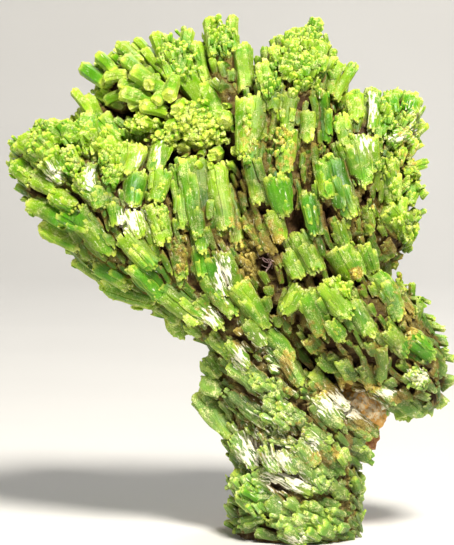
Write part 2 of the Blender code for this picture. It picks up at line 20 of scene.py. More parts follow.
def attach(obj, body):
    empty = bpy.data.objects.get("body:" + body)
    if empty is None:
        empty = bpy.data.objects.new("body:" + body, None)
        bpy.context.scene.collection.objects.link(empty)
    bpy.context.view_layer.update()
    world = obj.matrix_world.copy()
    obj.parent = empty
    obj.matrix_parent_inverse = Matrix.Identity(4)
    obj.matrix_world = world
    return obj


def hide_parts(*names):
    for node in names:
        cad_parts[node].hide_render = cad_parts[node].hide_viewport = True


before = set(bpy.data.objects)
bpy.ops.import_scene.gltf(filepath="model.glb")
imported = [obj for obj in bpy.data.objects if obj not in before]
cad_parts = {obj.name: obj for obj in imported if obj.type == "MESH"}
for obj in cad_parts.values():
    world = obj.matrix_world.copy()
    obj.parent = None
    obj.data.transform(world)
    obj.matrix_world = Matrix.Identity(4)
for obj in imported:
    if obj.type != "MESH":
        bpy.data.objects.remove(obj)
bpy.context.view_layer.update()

bl_info = {
    "name": "Pyromorphite specimen",
    "version": (1, 0, 0),
    "blender": (4, 5, 0),
    "location": "View3D > Sidebar > Specimen",
    "description": "Grows the crystals, druse and matrix of a pyromorphite specimen",
    "category": "Object",
}

MM = 0.001

# The layout plate's point that is the origin: the middle of the base, on the cut.
BASE_U = 29.7
BASE_V = 53.8

# How the solids place their crystals, repeated so that each blade covers its own solid crystal
LOWER_END_LIFT = 0.55
EMBEDDING = 0.12
STEEPEST_RISE = 0.6
DEPTH_SCAN = (-12.0, 8.0, 0.1)
SPACING = 4.6
RULE_LENGTH = (4.8, 7.4)
RULE_WIDTH = (2.4, 3.8)
RULE_SINK = 0.25
LEAN_OUT = 0.55
FRONT_FACING = -0.30
OUTLINE_SLACK = 0.1
CUT_BACKS = (1.0, 0.85, 0.7, 0.55, 0.4)
CLEAR_OF_BASE = 1.5
SURFACE_TRIES = 9000
NEAR_SURFACE = 0.5
PULLS_TO_SURFACE = 4
SLOPE_STEP = 0.05
CLEAR_OF_MATRIX = 1.15
SEED = 7

# Limbs of the cluster: knots of (u, v, y, half width, half depth), from root to tip
LIMBS = {
    "trunk": (
        (29.7, 55.5, 0.4, 6.4, 5.8),
        (29.7, 50.0, 0.3, 6.3, 5.8),
        (30.0, 46.5, 0.3, 5.9, 5.8),
        (29.4, 43.0, 0.0, 6.6, 6.0),
        (27.8, 39.0, 0.0, 6.0, 6.0),
        (26.6, 35.5, 0.0, 5.0, 5.8),
        (25.8, 31.0, -0.3, 4.6, 5.8),
    ),
    "left_fan": (
        (26.0, 33.5, -0.5, 4.2, 5.5),
        (21.5, 29.0, -1.5, 4.8, 6.0),
        (17.0, 25.0, -2.0, 5.6, 6.2),
        (12.0, 21.0, -1.5, 6.2, 6.0),
        (7.0, 17.5, 0.5, 4.8, 5.0),
        (4.6, 16.2, 1.2, 3.0, 3.6),
    ),
    "middle_blades": (
        (24.5, 32.0, -1.5, 3.6, 5.6),
        (22.8, 27.0, -2.5, 3.6, 5.8),
        (21.2, 22.0, -2.5, 3.8, 5.6),
        (20.2, 18.0, -1.5, 3.6, 4.6),
    ),
    "left_spray": (
        (24.0, 22.0, 3.0, 4.5, 5.0),
        (20.5, 15.5, 3.2, 4.6, 5.5),
        (17.0, 10.5, 3.2, 5.0, 5.2),
        (13.4, 8.6, 3.2, 3.4, 4.2),
        (11.4, 8.0, 3.2, 1.8, 2.4),
    ),
    "spray_root": (
        (16.0, 14.6, 2.0, 4.2, 4.6),
        (12.0, 13.2, 1.8, 2.6, 3.6),
        (9.6, 11.6, 1.6, 1.4, 2.2),
    ),
    "top_knot": (
        (24.4, 14.0, 0.5, 3.4, 5.0),
        (23.0, 8.5, 1.2, 2.8, 3.8),
        (22.2, 5.0, 1.5, 1.6, 2.4),
    ),
    "crest": (
        (27.5, 30.0, -1.0, 4.0, 6.5),
        (27.0, 24.0, -1.5, 4.4, 7.0),
        (27.6, 18.0, -2.0, 5.0, 7.0),
        (28.8, 12.0, -1.0, 5.2, 6.0),
        (29.6, 8.0, 0.0, 4.0, 5.0),
        (30.2, 5.4, 0.5, 2.0, 3.0),
    ),
    "right_crest": (
        (30.5, 27.0, -1.5, 4.5, 7.0),
        (33.0, 21.0, -2.0, 5.0, 7.0),
        (35.2, 16.0, -1.0, 4.8, 6.0),
        (38.0, 13.2, 1.0, 3.6, 5.0),
        (40.2, 11.6, 2.0, 1.8, 3.0),
    ),
    "right_flank": (
        (33.0, 27.0, 0.0, 4.5, 6.5),
        (36.8, 22.5, 0.6, 4.2, 6.0),
        (38.2, 17.5, 1.6, 3.0, 5.0),
    ),
    "right_lobe": (
        (28.5, 28.5, -1.0, 4.0, 6.2),
        (32.5, 30.3, -2.0, 5.0, 6.5),
        (36.5, 32.8, -1.8, 5.4, 6.5),
        (39.8, 36.0, -0.5, 4.7, 5.5),
        (41.8, 38.5, 0.4, 2.9, 3.8),
    ),
    "back": (
        (28.5, 32.0, 3.0, 5.2, 6.5),
        (30.5, 24.0, 5.0, 7.5, 7.5),
        (31.5, 16.0, 5.0, 6.5, 6.5),
        (31.0, 11.0, 4.5, 4.0, 4.5),
    ),
}

# Crystals of the display face: (u, v) of the lower end, (u, v) of the upper end, width
# and how far the upper end stands out towards the viewer, all in millimetres.
FACE_CRYSTALS = {
    "left spray": (
        (10.7, 8.5, 8.2, 6.8, 1.7, 0.8),
        (11.6, 7.4, 9.8, 5.5, 1.4, 0.3),
        (9.2, 11.6, 7.3, 9.0, 1.0, 0.0),
        (14.2, 6.4, 11.8, 4.5, 1.4, 0.4),
        (15.4, 5.8, 13.5, 4.0, 1.2, 0.2),
        (17.2, 8.2, 15.5, 3.4, 1.5, 0.2),
        (17.8, 8.2, 16.9, 4.0, 1.4, 0.4),
        (18.0, 8.2, 18.8, 3.1, 1.5, 0.2),
        (20.6, 8.4, 19.7, 4.4, 1.6, 0.2),
        (14.6, 8.8, 11.9, 8.4, 1.3, 1.6),
        (13.2, 9.0, 10.6, 10.2, 1.4, 1.4),
        (12.6, 11.0, 9.7, 9.4, 1.5, 0.8),
        (16.6, 9.2, 13.2, 7.0, 1.7, 2.2),
        (15.6, 8.6, 12.4, 5.9, 1.6, 1.4),
        (17.2, 8.0, 14.6, 5.2, 1.6, 1.6),
        (15.4, 10.4, 12.2, 9.2, 1.7, 2.4),
        (18.6, 8.8, 16.6, 5.6, 1.6, 1.4),
        (16.8, 11.2, 14.2, 10.4, 1.6, 2.6),
        (15.2, 9.6, 12.9, 10.7, 1.3, 2.0),
        (15.8, 7.8, 14.8, 8.6, 1.3, 2.4),
        (16.9, 8.6, 15.6, 10.4, 1.4, 2.2),
        (17.6, 7.8, 17.0, 9.8, 1.6, 2.2),
        (12.8, 7.6, 10.5, 7.9, 1.4, 1.4),
        (10.8, 13.2, 8.8, 9.8, 1.6, 0.2),
        (9.8, 13.4, 7.9, 11.2, 1.5, 0.0),
        (12.2, 14.0, 10.4, 11.6, 1.7, 0.4),
        (19.8, 10.0, 18.4, 6.2, 1.9, 0.6),
        (17.9, 12.2, 17.0, 13.2, 1.9, 2.0),
        (20.2, 10.8, 19.7, 11.7, 2.0, 1.8),
        (18.4, 10.4, 17.8, 11.3, 1.8, 2.0),
        (18.8, 14.4, 18.3, 15.0, 1.7, 1.4),
        (22.6, 11.4, 22.5, 12.4, 1.8, 1.6),
        (15.0, 12.6, 13.9, 12.0, 2.2, 2.0),
        (19.4, 12.4, 18.2, 12.9, 2.4, 2.0),
        (21.2, 12.8, 20.8, 13.6, 2.6, 2.2),
        (22.0, 15.0, 21.4, 15.6, 1.6, 1.6),
        (20.6, 11.0, 18.2, 7.4, 2.6, 0.8),
        (22.2, 12.0, 20.4, 8.6, 2.4, 0.8),
    ),
    "top knot": (
        (21.4, 5.8, 20.8, 1.9, 1.4, 0.0),
        (22.6, 5.8, 22.2, 2.8, 1.3, 0.3),
        (23.4, 5.4, 23.2, 1.7, 1.3, 0.0),
        (24.6, 9.2, 24.2, 4.8, 2.4, 0.4),
    ),
    "left fan": (
        (4.8, 16.0, 2.2, 14.0, 2.2, 0.8),
        (3.8, 18.2, 1.6, 16.4, 2.2, 0.8),
        (6.0, 14.8, 4.6, 12.6, 2.0, 0.5),
        (7.4, 14.4, 6.6, 12.1, 1.4, 0.2),
        (9.4, 15.6, 8.8, 11.6, 2.2, 0.6),
        (6.8, 18.2, 4.8, 16.2, 1.3, 0.6),
        (6.2, 19.0, 3.4, 17.4, 1.8, 0.4),
        (5.0, 21.0, 3.2, 19.6, 1.6, 0.0),
        (8.6, 19.2, 9.8, 16.2, 1.5, 0.3),
        (11.2, 18.4, 12.6, 14.6, 2.2, 0.5),
        (13.6, 20.6, 14.0, 17.0, 2.4, 0.3),
        (15.4, 17.4, 16.6, 13.4, 2.0, 0.4),
        (15.6, 20.2, 16.4, 16.8, 2.0, 0.2),
        (16.6, 24.2, 15.6, 20.2, 2.4, 0.2),
        (7.0, 22.2, 3.4, 20.2, 2.2, 0.4),
        (8.4, 24.6, 4.5, 22.6, 1.8, -0.2),
        (11.4, 28.2, 7.6, 25.4, 2.0, 0.0),
        (11.6, 25.2, 8.2, 20.4, 2.5, 0.3),
        (9.4, 25.9, 7.6, 21.6, 2.0, -0.3),
        (13.6, 28.4, 9.8, 26.0, 2.1, 0.0),
        (16.0, 29.8, 10.8, 28.2, 2.0, -0.4),
        (16.8, 29.6, 13.4, 25.4, 2.6, 0.4),
        (16.0, 26.4, 12.6, 22.8, 2.4, 0.2),
        (20.4, 31.4, 16.0, 28.2, 2.6, 0.2),
        (18.2, 31.8, 13.4, 28.6, 1.8, -0.4),
        (18.4, 33.6, 17.2, 31.6, 1.7, -0.2),
        (20.0, 33.2, 18.8, 31.6, 1.7, 0.2),
        (10.4, 20.8, 10.0, 18.6, 2.0, 0.2),
        (12.0, 22.4, 11.6, 19.8, 1.8, 0.2),
        (8.2, 17.6, 6.8, 14.8, 1.9, 0.9),
        (6.8, 17.0, 4.8, 15.2, 1.9, 1.0),
        (10.2, 19.6, 8.0, 17.8, 2.0, 0.8),
        (8.2, 20.8, 5.6, 19.2, 1.9, 0.4),
        (11.0, 17.0, 10.8, 13.6, 1.9, 0.3),
        (13.0, 17.4, 14.0, 14.4, 1.6, 0.2),
        (9.4, 22.6, 6.4, 21.2, 1.8, 0.2),
        (14.4, 23.6, 13.4, 20.6, 1.9, 0.2),
    ),
    "middle blades": (
        (20.6, 24.9, 19.4, 15.7, 3.2, 0.2),
        (22.6, 22.8, 21.4, 16.2, 2.3, 0.1),
        (23.8, 24.6, 22.8, 18.6, 1.6, -0.2),
        (20.5, 27.3, 20.0, 24.0, 2.2, 0.0),
        (18.4, 22.8, 17.8, 16.4, 1.8, 0.0),
        (18.4, 27.6, 17.6, 23.2, 1.8, -0.4),
        (22.6, 29.4, 21.0, 25.2, 1.6, 0.0),
        (24.0, 29.2, 22.2, 24.6, 1.5, 0.1),
        (26.8, 32.2, 23.4, 27.4, 2.5, 0.2),
        (23.6, 31.2, 20.4, 26.8, 1.7, 0.1),
        (22.2, 32.2, 19.4, 29.2, 1.6, 0.2),
        (23.4, 35.4, 21.0, 32.8, 1.7, 0.0),
        (24.8, 36.3, 22.8, 33.4, 1.5, 0.2),
        (26.4, 33.8, 24.4, 31.2, 1.8, 0.2),
    ),
    "crest": (
        (24.8, 16.4, 25.6, 9.7, 3.3, 0.2),
        (26.8, 9.6, 26.2, 6.4, 1.7, 0.4),
        (27.2, 11.4, 27.6, 7.9, 1.8, 0.2),
        (28.4, 13.6, 28.9, 9.4, 1.8, 0.2),
        (28.2, 17.2, 28.6, 12.6, 2.2, 0.0),
        (30.4, 14.2, 30.4, 11.0, 1.6, 0.2),
        (32.3, 14.4, 31.7, 9.1, 1.9, 0.4),
        (33.9, 11.0, 33.0, 8.0, 2.0, 0.2),
        (30.0, 7.4, 31.6, 2.1, 1.5, 0.2),
        (29.2, 6.8, 29.0, 4.0, 1.8, 0.2),
        (27.6, 7.0, 27.4, 4.8, 1.6, 0.2),
        (28.4, 8.2, 29.6, 5.6, 2.4, 0.6),
        (31.4, 7.4, 31.8, 4.4, 2.0, 0.2),
        (32.8, 9.8, 33.9, 6.2, 1.2, 0.0),
        (33.2, 10.2, 35.3, 6.5, 1.2, 0.0),
        (25.8, 20.2, 25.0, 15.8, 1.8, 0.2),
        (28.4, 21.4, 27.2, 17.0, 2.5, 0.4),
        (28.0, 24.0, 27.0, 20.4, 1.9, 0.1),
        (31.2, 23.3, 30.4, 18.8, 1.7, 0.6),
        (26.8, 24.6, 23.8, 19.6, 1.0, -0.4),
        (28.0, 26.4, 25.2, 21.6, 1.1, -0.6),
    ),
    "right crest": (
        (34.8, 21.6, 32.6, 15.3, 2.8, 0.4),
        (34.2, 24.2, 33.2, 21.4, 1.6, 0.0),
        (32.6, 19.8, 31.8, 15.6, 1.8, -0.2),
        (36.0, 18.6, 34.8, 13.4, 2.8, 0.3),
        (36.8, 13.2, 37.2, 9.0, 1.3, 0.2),
        (35.6, 12.4, 35.2, 9.2, 1.8, 0.1),
        (38.8, 20.2, 38.4, 15.4, 2.8, 0.3),
        (39.2, 11.6, 38.6, 9.4, 1.6, 0.3),
        (40.6, 11.8, 41.2, 9.6, 2.0, 0.4),
        (39.0, 14.0, 40.8, 11.4, 1.8, 0.6),
        (38.4, 13.8, 40.6, 13.6, 1.2, 0.6),
        (40.0, 17.2, 42.6, 16.2, 1.0, 0.0),
        (40.0, 16.0, 41.2, 14.0, 1.8, 0.2),
        (40.2, 23.4, 37.8, 20.6, 2.6, 0.6),
        (36.6, 23.0, 36.0, 20.2, 1.8, 0.4),
        (40.4, 20.6, 41.4, 18.2, 2.0, 0.0),
        (40.8, 24.0, 41.2, 22.0, 1.8, 0.0),
        (39.2, 25.4, 37.8, 23.8, 1.6, 0.4),
        (36.8, 27.0, 35.4, 23.8, 2.2, 0.0),
        (37.0, 17.2, 36.5, 13.6, 1.9, 0.5),
        (37.6, 14.0, 38.2, 10.8, 1.6, 0.4),
        (38.8, 16.8, 39.8, 14.4, 1.6, 0.5),
        (34.4, 14.8, 34.0, 11.4, 1.8, 0.3),
        (39.2, 22.4, 39.6, 19.4, 1.8, 0.3),
    ),
    "right lobe": (
        (31.4, 27.0, 29.4, 22.8, 2.9, 0.2),
        (35.2, 27.4, 33.2, 23.8, 3.0, 0.2),
        (29.8, 27.4, 28.4, 24.6, 1.8, 0.0),
        (39.6, 31.8, 36.9, 27.3, 3.1, 0.1),
        (41.2, 31.4, 39.0, 27.8, 1.7, -0.4),
        (34.8, 31.2, 32.0, 27.6, 3.0, 0.2),
        (28.2, 30.9, 30.0, 27.8, 2.0, 0.2),
        (32.2, 33.2, 30.2, 28.2, 2.1, 0.2),
        (36.8, 33.0, 34.8, 29.4, 2.0, 0.0),
        (34.0, 33.4, 32.6, 31.2, 1.8, 0.2),
        (40.4, 34.8, 37.8, 32.0, 2.0, 0.3),
        (43.0, 35.4, 39.8, 32.8, 2.2, 0.2),
        (44.2, 37.4, 41.6, 35.2, 2.6, 0.2),
        (33.4, 36.6, 31.8, 34.8, 1.9, 0.2),
        (35.4, 37.6, 33.8, 35.0, 1.6, 0.4),
        (37.2, 38.5, 35.8, 35.4, 1.7, 0.2),
        (38.0, 37.6, 37.6, 33.8, 1.4, 0.3),
        (42.0, 38.0, 40.2, 36.2, 2.2, 0.2),
        (39.8, 39.8, 37.4, 37.8, 1.7, 0.4),
        (42.4, 41.2, 39.2, 38.4, 2.6, 0.0),
        (41.2, 41.6, 38.6, 39.4, 2.0, -0.2),
        (43.6, 40.8, 42.4, 38.4, 1.8, -0.2),
        (31.6, 34.8, 30.4, 32.8, 1.5, 0.2),
    ),
    "trunk": (
        (29.2, 35.8, 26.2, 32.2, 1.9, -0.2),
        (30.0, 38.0, 27.4, 34.4, 1.8, -0.2),
        (22.2, 37.6, 20.6, 35.8, 2.2, 0.0),
        (22.4, 39.2, 20.2, 37.8, 1.9, 0.2),
        (26.7, 38.6, 23.2, 35.8, 2.5, 0.2),
        (34.6, 40.6, 30.6, 37.2, 2.4, -0.2),
        (23.4, 43.6, 19.8, 39.6, 2.1, 0.2),
        (27.6, 42.4, 22.8, 38.4, 2.1, 0.2),
        (34.0, 42.4, 31.2, 39.0, 2.2, 0.2),
        (33.0, 44.6, 30.2, 42.0, 2.0, 0.3),
        (31.6, 46.0, 29.2, 43.4, 1.8, 0.3),
        (34.4, 46.2, 32.6, 44.2, 1.7, 0.1),
        (30.6, 41.7, 26.4, 39.4, 2.2, 0.3),
        (25.8, 46.6, 23.6, 43.0, 2.1, 0.4),
        (28.0, 46.8, 26.0, 43.8, 1.8, 0.4),
        (29.4, 46.8, 27.8, 44.4, 1.4, 0.3),
        (31.4, 48.6, 25.8, 46.6, 1.6, 0.3),
        (32.2, 48.0, 28.8, 44.6, 1.7, 0.2),
        (34.4, 47.0, 30.6, 43.6, 1.6, 0.0),
        (37.2, 46.0, 33.4, 43.4, 2.1, 0.2),
        (37.6, 43.6, 34.4, 41.2, 2.2, -0.4),
        (26.0, 50.6, 23.6, 47.4, 2.6, 0.2),
        (26.8, 51.0, 24.0, 52.2, 1.5, 0.6),
        (28.6, 50.8, 26.6, 49.4, 1.6, 0.4),
        (29.8, 50.8, 28.6, 49.2, 1.4, 0.4),
        (33.0, 51.2, 29.8, 49.8, 1.8, 0.4),
        (34.8, 49.4, 32.2, 47.6, 1.8, 0.2),
        (36.2, 49.2, 34.6, 47.4, 1.5, 0.2),
        (36.2, 50.2, 34.8, 49.0, 1.4, 0.3),
        (36.2, 52.0, 33.2, 50.6, 1.7, 0.3),
        (30.4, 53.8, 27.8, 52.2, 1.6, 0.2),
        (35.6, 53.8, 31.6, 52.4, 1.7, 0.2),
        (31.6, 52.6, 26.6, 51.2, 1.5, 0.2),
    ),
}

# Matrix: broken chunks behind and beside the trunk, as (u, v, y) of the middle and half
# the width, depth and height. Each is angular, the hull of a few points around it.
MATRIX_CHUNKS = (
    (29.4, 49.0, 6.8, 6.4, 4.0, 8.6),
    (30.2, 43.4, 6.4, 8.8, 4.6, 5.0),
    (35.2, 41.2, 2.2, 3.9, 4.6, 3.2),
    (31.4, 38.8, 6.0, 5.2, 3.6, 3.6),
)
CHUNK_CORNERS = 22
CHUNK_ROUGHNESS = 0.12

# The name of the piece that each display group's crystals make
GROUP_PIECES = {
    "left spray": "spray_prisms",
    "top knot": "top_knot_prisms",
    "left fan": "left_fan_blades",
    "middle blades": "middle_blades",
    "crest": "crest_blades",
    "right crest": "right_crest_blades",
    "right lobe": "right_lobe_blades",
    "trunk": "stem_blades",
}
# Groups of free prisms, whose sections are hexagons
FREE_GROUPS = ("left spray", "top knot")
# The small crystals between the large ones, in front and behind
GAP_PIECES = ("gap_crystals", "back_gap_crystals")

# Where druse covers the display face: (u, v) of the middle, half width, half height, how many
# bunches of small prisms, and the usual width of a prism
DRUSE_AREAS = (
    (4.8, 14.6, 1.5, 1.8, 44, 0.62),
    (7.6, 13.6, 1.9, 1.4, 34, 0.55),
    (11.4, 15.8, 1.4, 2.2, 38, 0.34),
    (8.0, 16.4, 1.8, 1.4, 22, 0.36),
    (14.2, 12.0, 0.8, 0.7, 16, 0.5),
    (19.4, 12.4, 2.8, 1.6, 56, 0.56),
    (21.6, 13.8, 1.6, 0.9, 24, 0.42),
    (17.4, 13.6, 1.0, 0.8, 12, 0.4),
    (16.6, 5.2, 2.2, 1.3, 22, 0.4),
    (18.6, 5.6, 1.2, 1.8, 14, 0.42),
    (22.2, 3.8, 1.4, 2.0, 24, 0.45),
    (29.6, 6.0, 1.7, 2.4, 46, 0.44),
    (27.2, 8.6, 1.0, 0.8, 12, 0.36),
    (31.3, 3.8, 0.8, 1.6, 16, 0.42),
    (30.6, 7.8, 2.4, 1.6, 36, 0.4),
    (28.2, 13.4, 1.5, 1.7, 16, 0.32),
    (24.6, 13.4, 0.8, 3.0, 10, 0.28),
    (39.6, 12.4, 1.9, 2.2, 50, 0.44),
    (38.2, 15.6, 1.0, 1.8, 16, 0.38),
    (40.8, 17.6, 1.3, 1.8, 24, 0.42),
    (40.4, 23.0, 1.2, 2.0, 20, 0.42),
    (16.6, 19.8, 0.8, 2.0, 10, 0.28),
    (18.4, 24.6, 1.0, 2.6, 16, 0.28),
    (25.2, 25.2, 1.3, 2.6, 26, 0.34),
    (31.8, 14.8, 0.8, 2.0, 8, 0.28),
    (34.6, 27.5, 2.0, 1.6, 9, 0.38),
    (41.4, 37.2, 1.1, 0.9, 16, 0.3),
    (25.2, 48.8, 1.2, 1.5, 16, 0.72),
    (30.4, 51.4, 3.8, 1.1, 22, 0.8),
    (27.4, 38.6, 2.0, 1.6, 18, 0.5),
    (27.6, 42.4, 3.2, 2.4, 22, 0.56),
    (33.0, 47.0, 2.0, 2.0, 9, 0.6),
)

# Colour areas of the display face: (u, v) of the middle, half width, half height and strength
RUST_AREAS = (
    (28.6, 35.8, 0.8, 1.7, 0.7),
    (27.0, 24.2, 1.2, 2.4, 0.8),
    (25.0, 25.4, 1.3, 2.6, 0.85),
    (34.4, 38.6, 3.6, 1.4, 0.8),
    (32.4, 45.0, 2.6, 1.4, 0.55),
    (36.6, 41.2, 2.2, 2.2, 0.8),
    (39.8, 39.2, 1.0, 0.9, 0.8),
    (24.6, 13.6, 0.9, 2.6, 0.45),
    (18.3, 24.8, 0.9, 2.6, 0.6),
    (35.3, 26.8, 0.8, 0.8, 0.8),
    (23.8, 33.0, 0.6, 1.4, 0.8),
    (28.0, 14.6, 3.4, 3.4, 0.4),
    (24.6, 22.6, 2.4, 4.0, 0.5),
    (33.0, 10.0, 3.0, 2.5, 0.3),
    (40.4, 15.0, 1.8, 4.0, 0.42),
    (40.0, 27.0, 2.4, 3.0, 0.4),
    (30.4, 33.0, 2.6, 2.6, 0.42),
    (27.0, 44.0, 3.4, 4.0, 0.32),
    (21.0, 29.4, 2.0, 3.0, 0.3),
    (36.4, 22.0, 1.4, 3.4, 0.36),
    (9.6, 15.6, 2.6, 1.6, 0.26),
    (40.6, 31.4, 0.9, 2.4, 0.75),
    (37.4, 35.0, 2.4, 2.4, 0.4),
    (29.0, 38.2, 1.0, 1.0, 0.5),
    (29.4, 42.2, 1.6, 1.4, 0.42),
)
# Crust areas: white weathering crust, partly painted highlight for white glints on the striae
CRUST_AREAS = (
    (5.8, 17.3, 1.0, 0.9, 1.0),
    (9.3, 17.6, 0.6, 1.4, 1.0),
    (16.0, 15.5, 0.4, 1.2, 1.0),
    (14.1, 16.0, 0.4, 0.8, 1.0),
    (22.2, 26.8, 1.0, 2.4, 0.9),
    (21.2, 31.2, 1.0, 1.0, 1.0),
    (24.0, 35.1, 0.9, 1.2, 1.0),
    (27.2, 36.1, 0.5, 0.5, 1.0),
    (24.8, 44.6, 1.3, 1.9, 1.0),
    (27.6, 45.2, 1.8, 1.4, 1.0),
    (28.6, 47.6, 3.0, 1.0, 1.0),
    (31.2, 43.6, 0.8, 0.8, 1.0),
    (29.4, 53.0, 1.2, 0.7, 1.0),
    (36.9, 10.8, 0.5, 2.0, 1.0),
    (39.4, 13.7, 1.3, 0.4, 1.0),
    (41.5, 37.1, 1.1, 0.8, 1.0),
    (38.4, 38.8, 1.0, 0.5, 1.0),
    (13.4, 21.6, 1.4, 1.4, 1.0),
    (36.0, 14.0, 1.0, 1.2, 0.75),
    (35.6, 40.2, 2.0, 1.4, 1.2),
    (37.4, 41.2, 1.4, 1.2, 1.2),
    (27.4, 44.0, 3.4, 5.6, 0.4),
    (26.0, 35.0, 2.4, 2.4, 0.4),
    (33.5, 39.8, 2.2, 1.2, 1.0),
    (41.0, 12.2, 1.6, 2.2, 0.4),
)
FRESH_AREAS = (
    (14.0, 18.8, 1.0, 1.7, 1.0),
    (15.4, 27.4, 1.8, 2.2, 1.0),
    (11.2, 26.8, 1.6, 1.0, 1.0),
    (41.4, 34.2, 1.7, 1.4, 1.0),
    (32.5, 11.8, 0.9, 2.6, 1.0),
    (33.4, 18.6, 1.4, 3.0, 1.0),
    (30.7, 21.1, 0.8, 2.2, 1.0),
    (28.0, 18.8, 1.6, 2.2, 1.0),
    (9.0, 7.4, 1.4, 1.2, 1.0),
    (25.4, 48.8, 2.2, 2.0, 0.55),
    (40.2, 10.4, 1.4, 1.0, 1.0),
    (20.6, 25.6, 1.2, 1.6, 1.0),
    (7.0, 21.6, 2.0, 1.4, 1.0),
)
# Open hollows of the display face: (u, v) of the middle, half width, half height, depth
HOLLOWS = (
    (12.6, 11.0, 1.6, 0.7, 1.5),
    (15.6, 11.6, 1.4, 0.5, 1.4),
    (22.2, 15.6, 0.6, 0.6, 1.0),
    (4.2, 19.2, 1.1, 0.6, 1.3),
    (4.5, 22.0, 0.6, 0.35, 1.0),
    (32.3, 21.2, 0.45, 1.3, 1.4),
    (28.9, 21.4, 1.0, 1.2, 1.3),
    (27.1, 25.4, 1.1, 1.1, 2.0),
    (24.2, 16.7, 0.5, 1.0, 1.4),
    (23.8, 19.2, 0.35, 0.7, 1.2),
    (26.1, 20.9, 0.4, 0.4, 1.0),
    (39.3, 24.5, 0.9, 1.1, 1.5),
    (31.1, 36.2, 0.7, 0.5, 1.8),
    (32.6, 37.6, 0.9, 0.6, 2.0),
    (34.2, 39.0, 0.9, 0.5, 2.0),
    (24.7, 38.6, 1.6, 0.5, 1.4),
    (21.8, 39.5, 0.9, 0.4, 1.2),
    (29.1, 31.4, 0.7, 0.5, 1.4),
    (33.0, 34.0, 1.0, 0.6, 1.2),
    (27.4, 48.2, 1.2, 0.45, 1.0),
    (35.6, 28.0, 0.8, 0.5, 1.2),
    (35.6, 39.6, 1.0, 0.4, 1.8),
    (36.0, 19.6, 0.35, 0.8, 1.2),
    (31.0, 27.5, 0.7, 0.7, 1.1),
    (27.3, 52.2, 0.7, 0.4, 0.8),
)
# How much darker a hollow is, as a share of reach, and how much of one keeps crystals out
HOLLOW_SHADE = 0.06
HOLLOW_CLEAR = 0.6
# Areas fade out towards this many times their size, and behind the front up to this y.
AREAS_EDGE = 1.5
AREAS_END = 3.0
AREAS_FADE = 2.0
# Behind the front there is less shade and stain: how much less, from which y, over what span
BACK_LIFT = 0.05
BACK_LIFT_START = -1.0
BACK_LIFT_SPAN = 4.0


def length_property(name, description, default, least, most):
    """A small length, in metres."""
    return FloatProperty(
        name=name,
        description=description,
        default=default,
        min=least,
        max=most,
        precision=5,
        unit="LENGTH",
    )


class SpecimenSizes(bpy.types.PropertyGroup):
    """Sizes of the fine growth."""

    gap_spacing: length_property(
        "Gap crystal spacing",
        "Least distance between the small crystals in the display face's gaps",
        0.0011,
        0.0005,
        0.005,
    )
    back_gap_spacing: length_property(
        "Back crystal spacing",
        "Least distance between the small crystals of the sides and the back",
        0.0015,
        0.0005,
        0.005,
    )
    body_voxel: length_property(
        "Body grain", "Voxel size of the massive growth under the crystals", 0.00036, 0.0002, 0.002
    )
    rock_voxel: length_property("Rock grain", "Voxel size of the matrix", 0.00026, 0.0002, 0.002)
    druse_scale: FloatProperty(
        name="Druse size",
        description="Size of the druse's small prisms, as a share of the usual",
        default=1.0,
        min=0.3,
        max=3.0,
        subtype="FACTOR",
    )


def colour_property(name, description, default):
    """A colour as the light it gives back: red, green and blue."""
    return FloatVectorProperty(
        name=name, description=description, default=default, size=3, min=0, max=1, subtype="COLOR"
    )


class SpecimenColours(bpy.types.PropertyGroup):
    """Colours of the crystals and the rock."""

    body: colour_property("Body", "Yellowish green of a blade's middle", (0.24, 0.46, 0.006))
    green: colour_property("Green", "Fuller green of some patches", (0.11, 0.34, 0.004))
    pale: colour_property("Pale", "Paler green of striae and worn faces", (0.5, 0.63, 0.07))
    rim: colour_property("Rim", "Yellow-green of the crystals' rims", (0.66, 0.75, 0.09))
    dust: colour_property("Dust", "Creamy specks of weathered crystal", (0.94, 0.93, 0.45))
    fresh: colour_property("Fresh", "Saturated green of clean crystals", (0.06, 0.31, 0.001))
    stem: colour_property("Stem", "Greyer green near the base", (0.22, 0.4, 0.09))
    # Crust: white of weathered streaks, which on the crystals is partly painted highlight
    crust: colour_property("Crust", "White of glassy, weathered streaks", (0.97, 0.93, 0.74))
    # Deep: dark brown of pits, and of the deepest gaps, where it is partly painted shade
    deep: colour_property("Deep", "Dark brown of the growth in deep gaps", (0.05, 0.022, 0.006))
    rust: colour_property("Rust", "Iron stain in the cracks", (0.42, 0.16, 0.035))
    ochre: colour_property("Ochre", "Light iron stain", (0.84, 0.47, 0.12))
    umber: colour_property("Umber", "Dark rock", (0.24, 0.09, 0.035))
    lint: colour_property("Lint", "Threads caught in the cleft", (0.75, 0.48, 0.46))


class SpecimenStudio(bpy.types.PropertyGroup):
    """Camera, floor and light, and the seed of the growth."""

    lens: FloatProperty(
        name="Lens",
        description="Focal length in millimetres",
        default=180.0,
        min=20.0,
        unit="CAMERA",
    )
    elevation: FloatProperty(
        name="Elevation",
        description="How far the camera looks down",
        default=math.radians(4.0),
        subtype="ANGLE",
    )
    frame_height: FloatProperty(
        name="Frame height",
        description="Height of the picture at the specimen",
        default=0.0545,
        precision=4,
        unit="LENGTH",
    )
    key_power: FloatProperty(
        name="Key light",
        description="Power of the large soft light",
        default=2.75,
        min=0.0,
        subtype="POWER",
    )
    floor_colour: colour_property("Floor", "Colour of the floor and backdrop", (0.72, 0.71, 0.69))
    seed: IntProperty(name="Seed", description="Seed of the growth", default=11)


def unit(rows):
    """Vectors scaled to length one."""
    rows = np.asarray(rows, float)
    return rows / np.linalg.norm(rows, axis=-1, keepdims=True)


def plate(u, v, y=0.0):
    """A place on the layout plate in space, in millimetres."""
    return np.array([u - BASE_U, y, BASE_V - v])


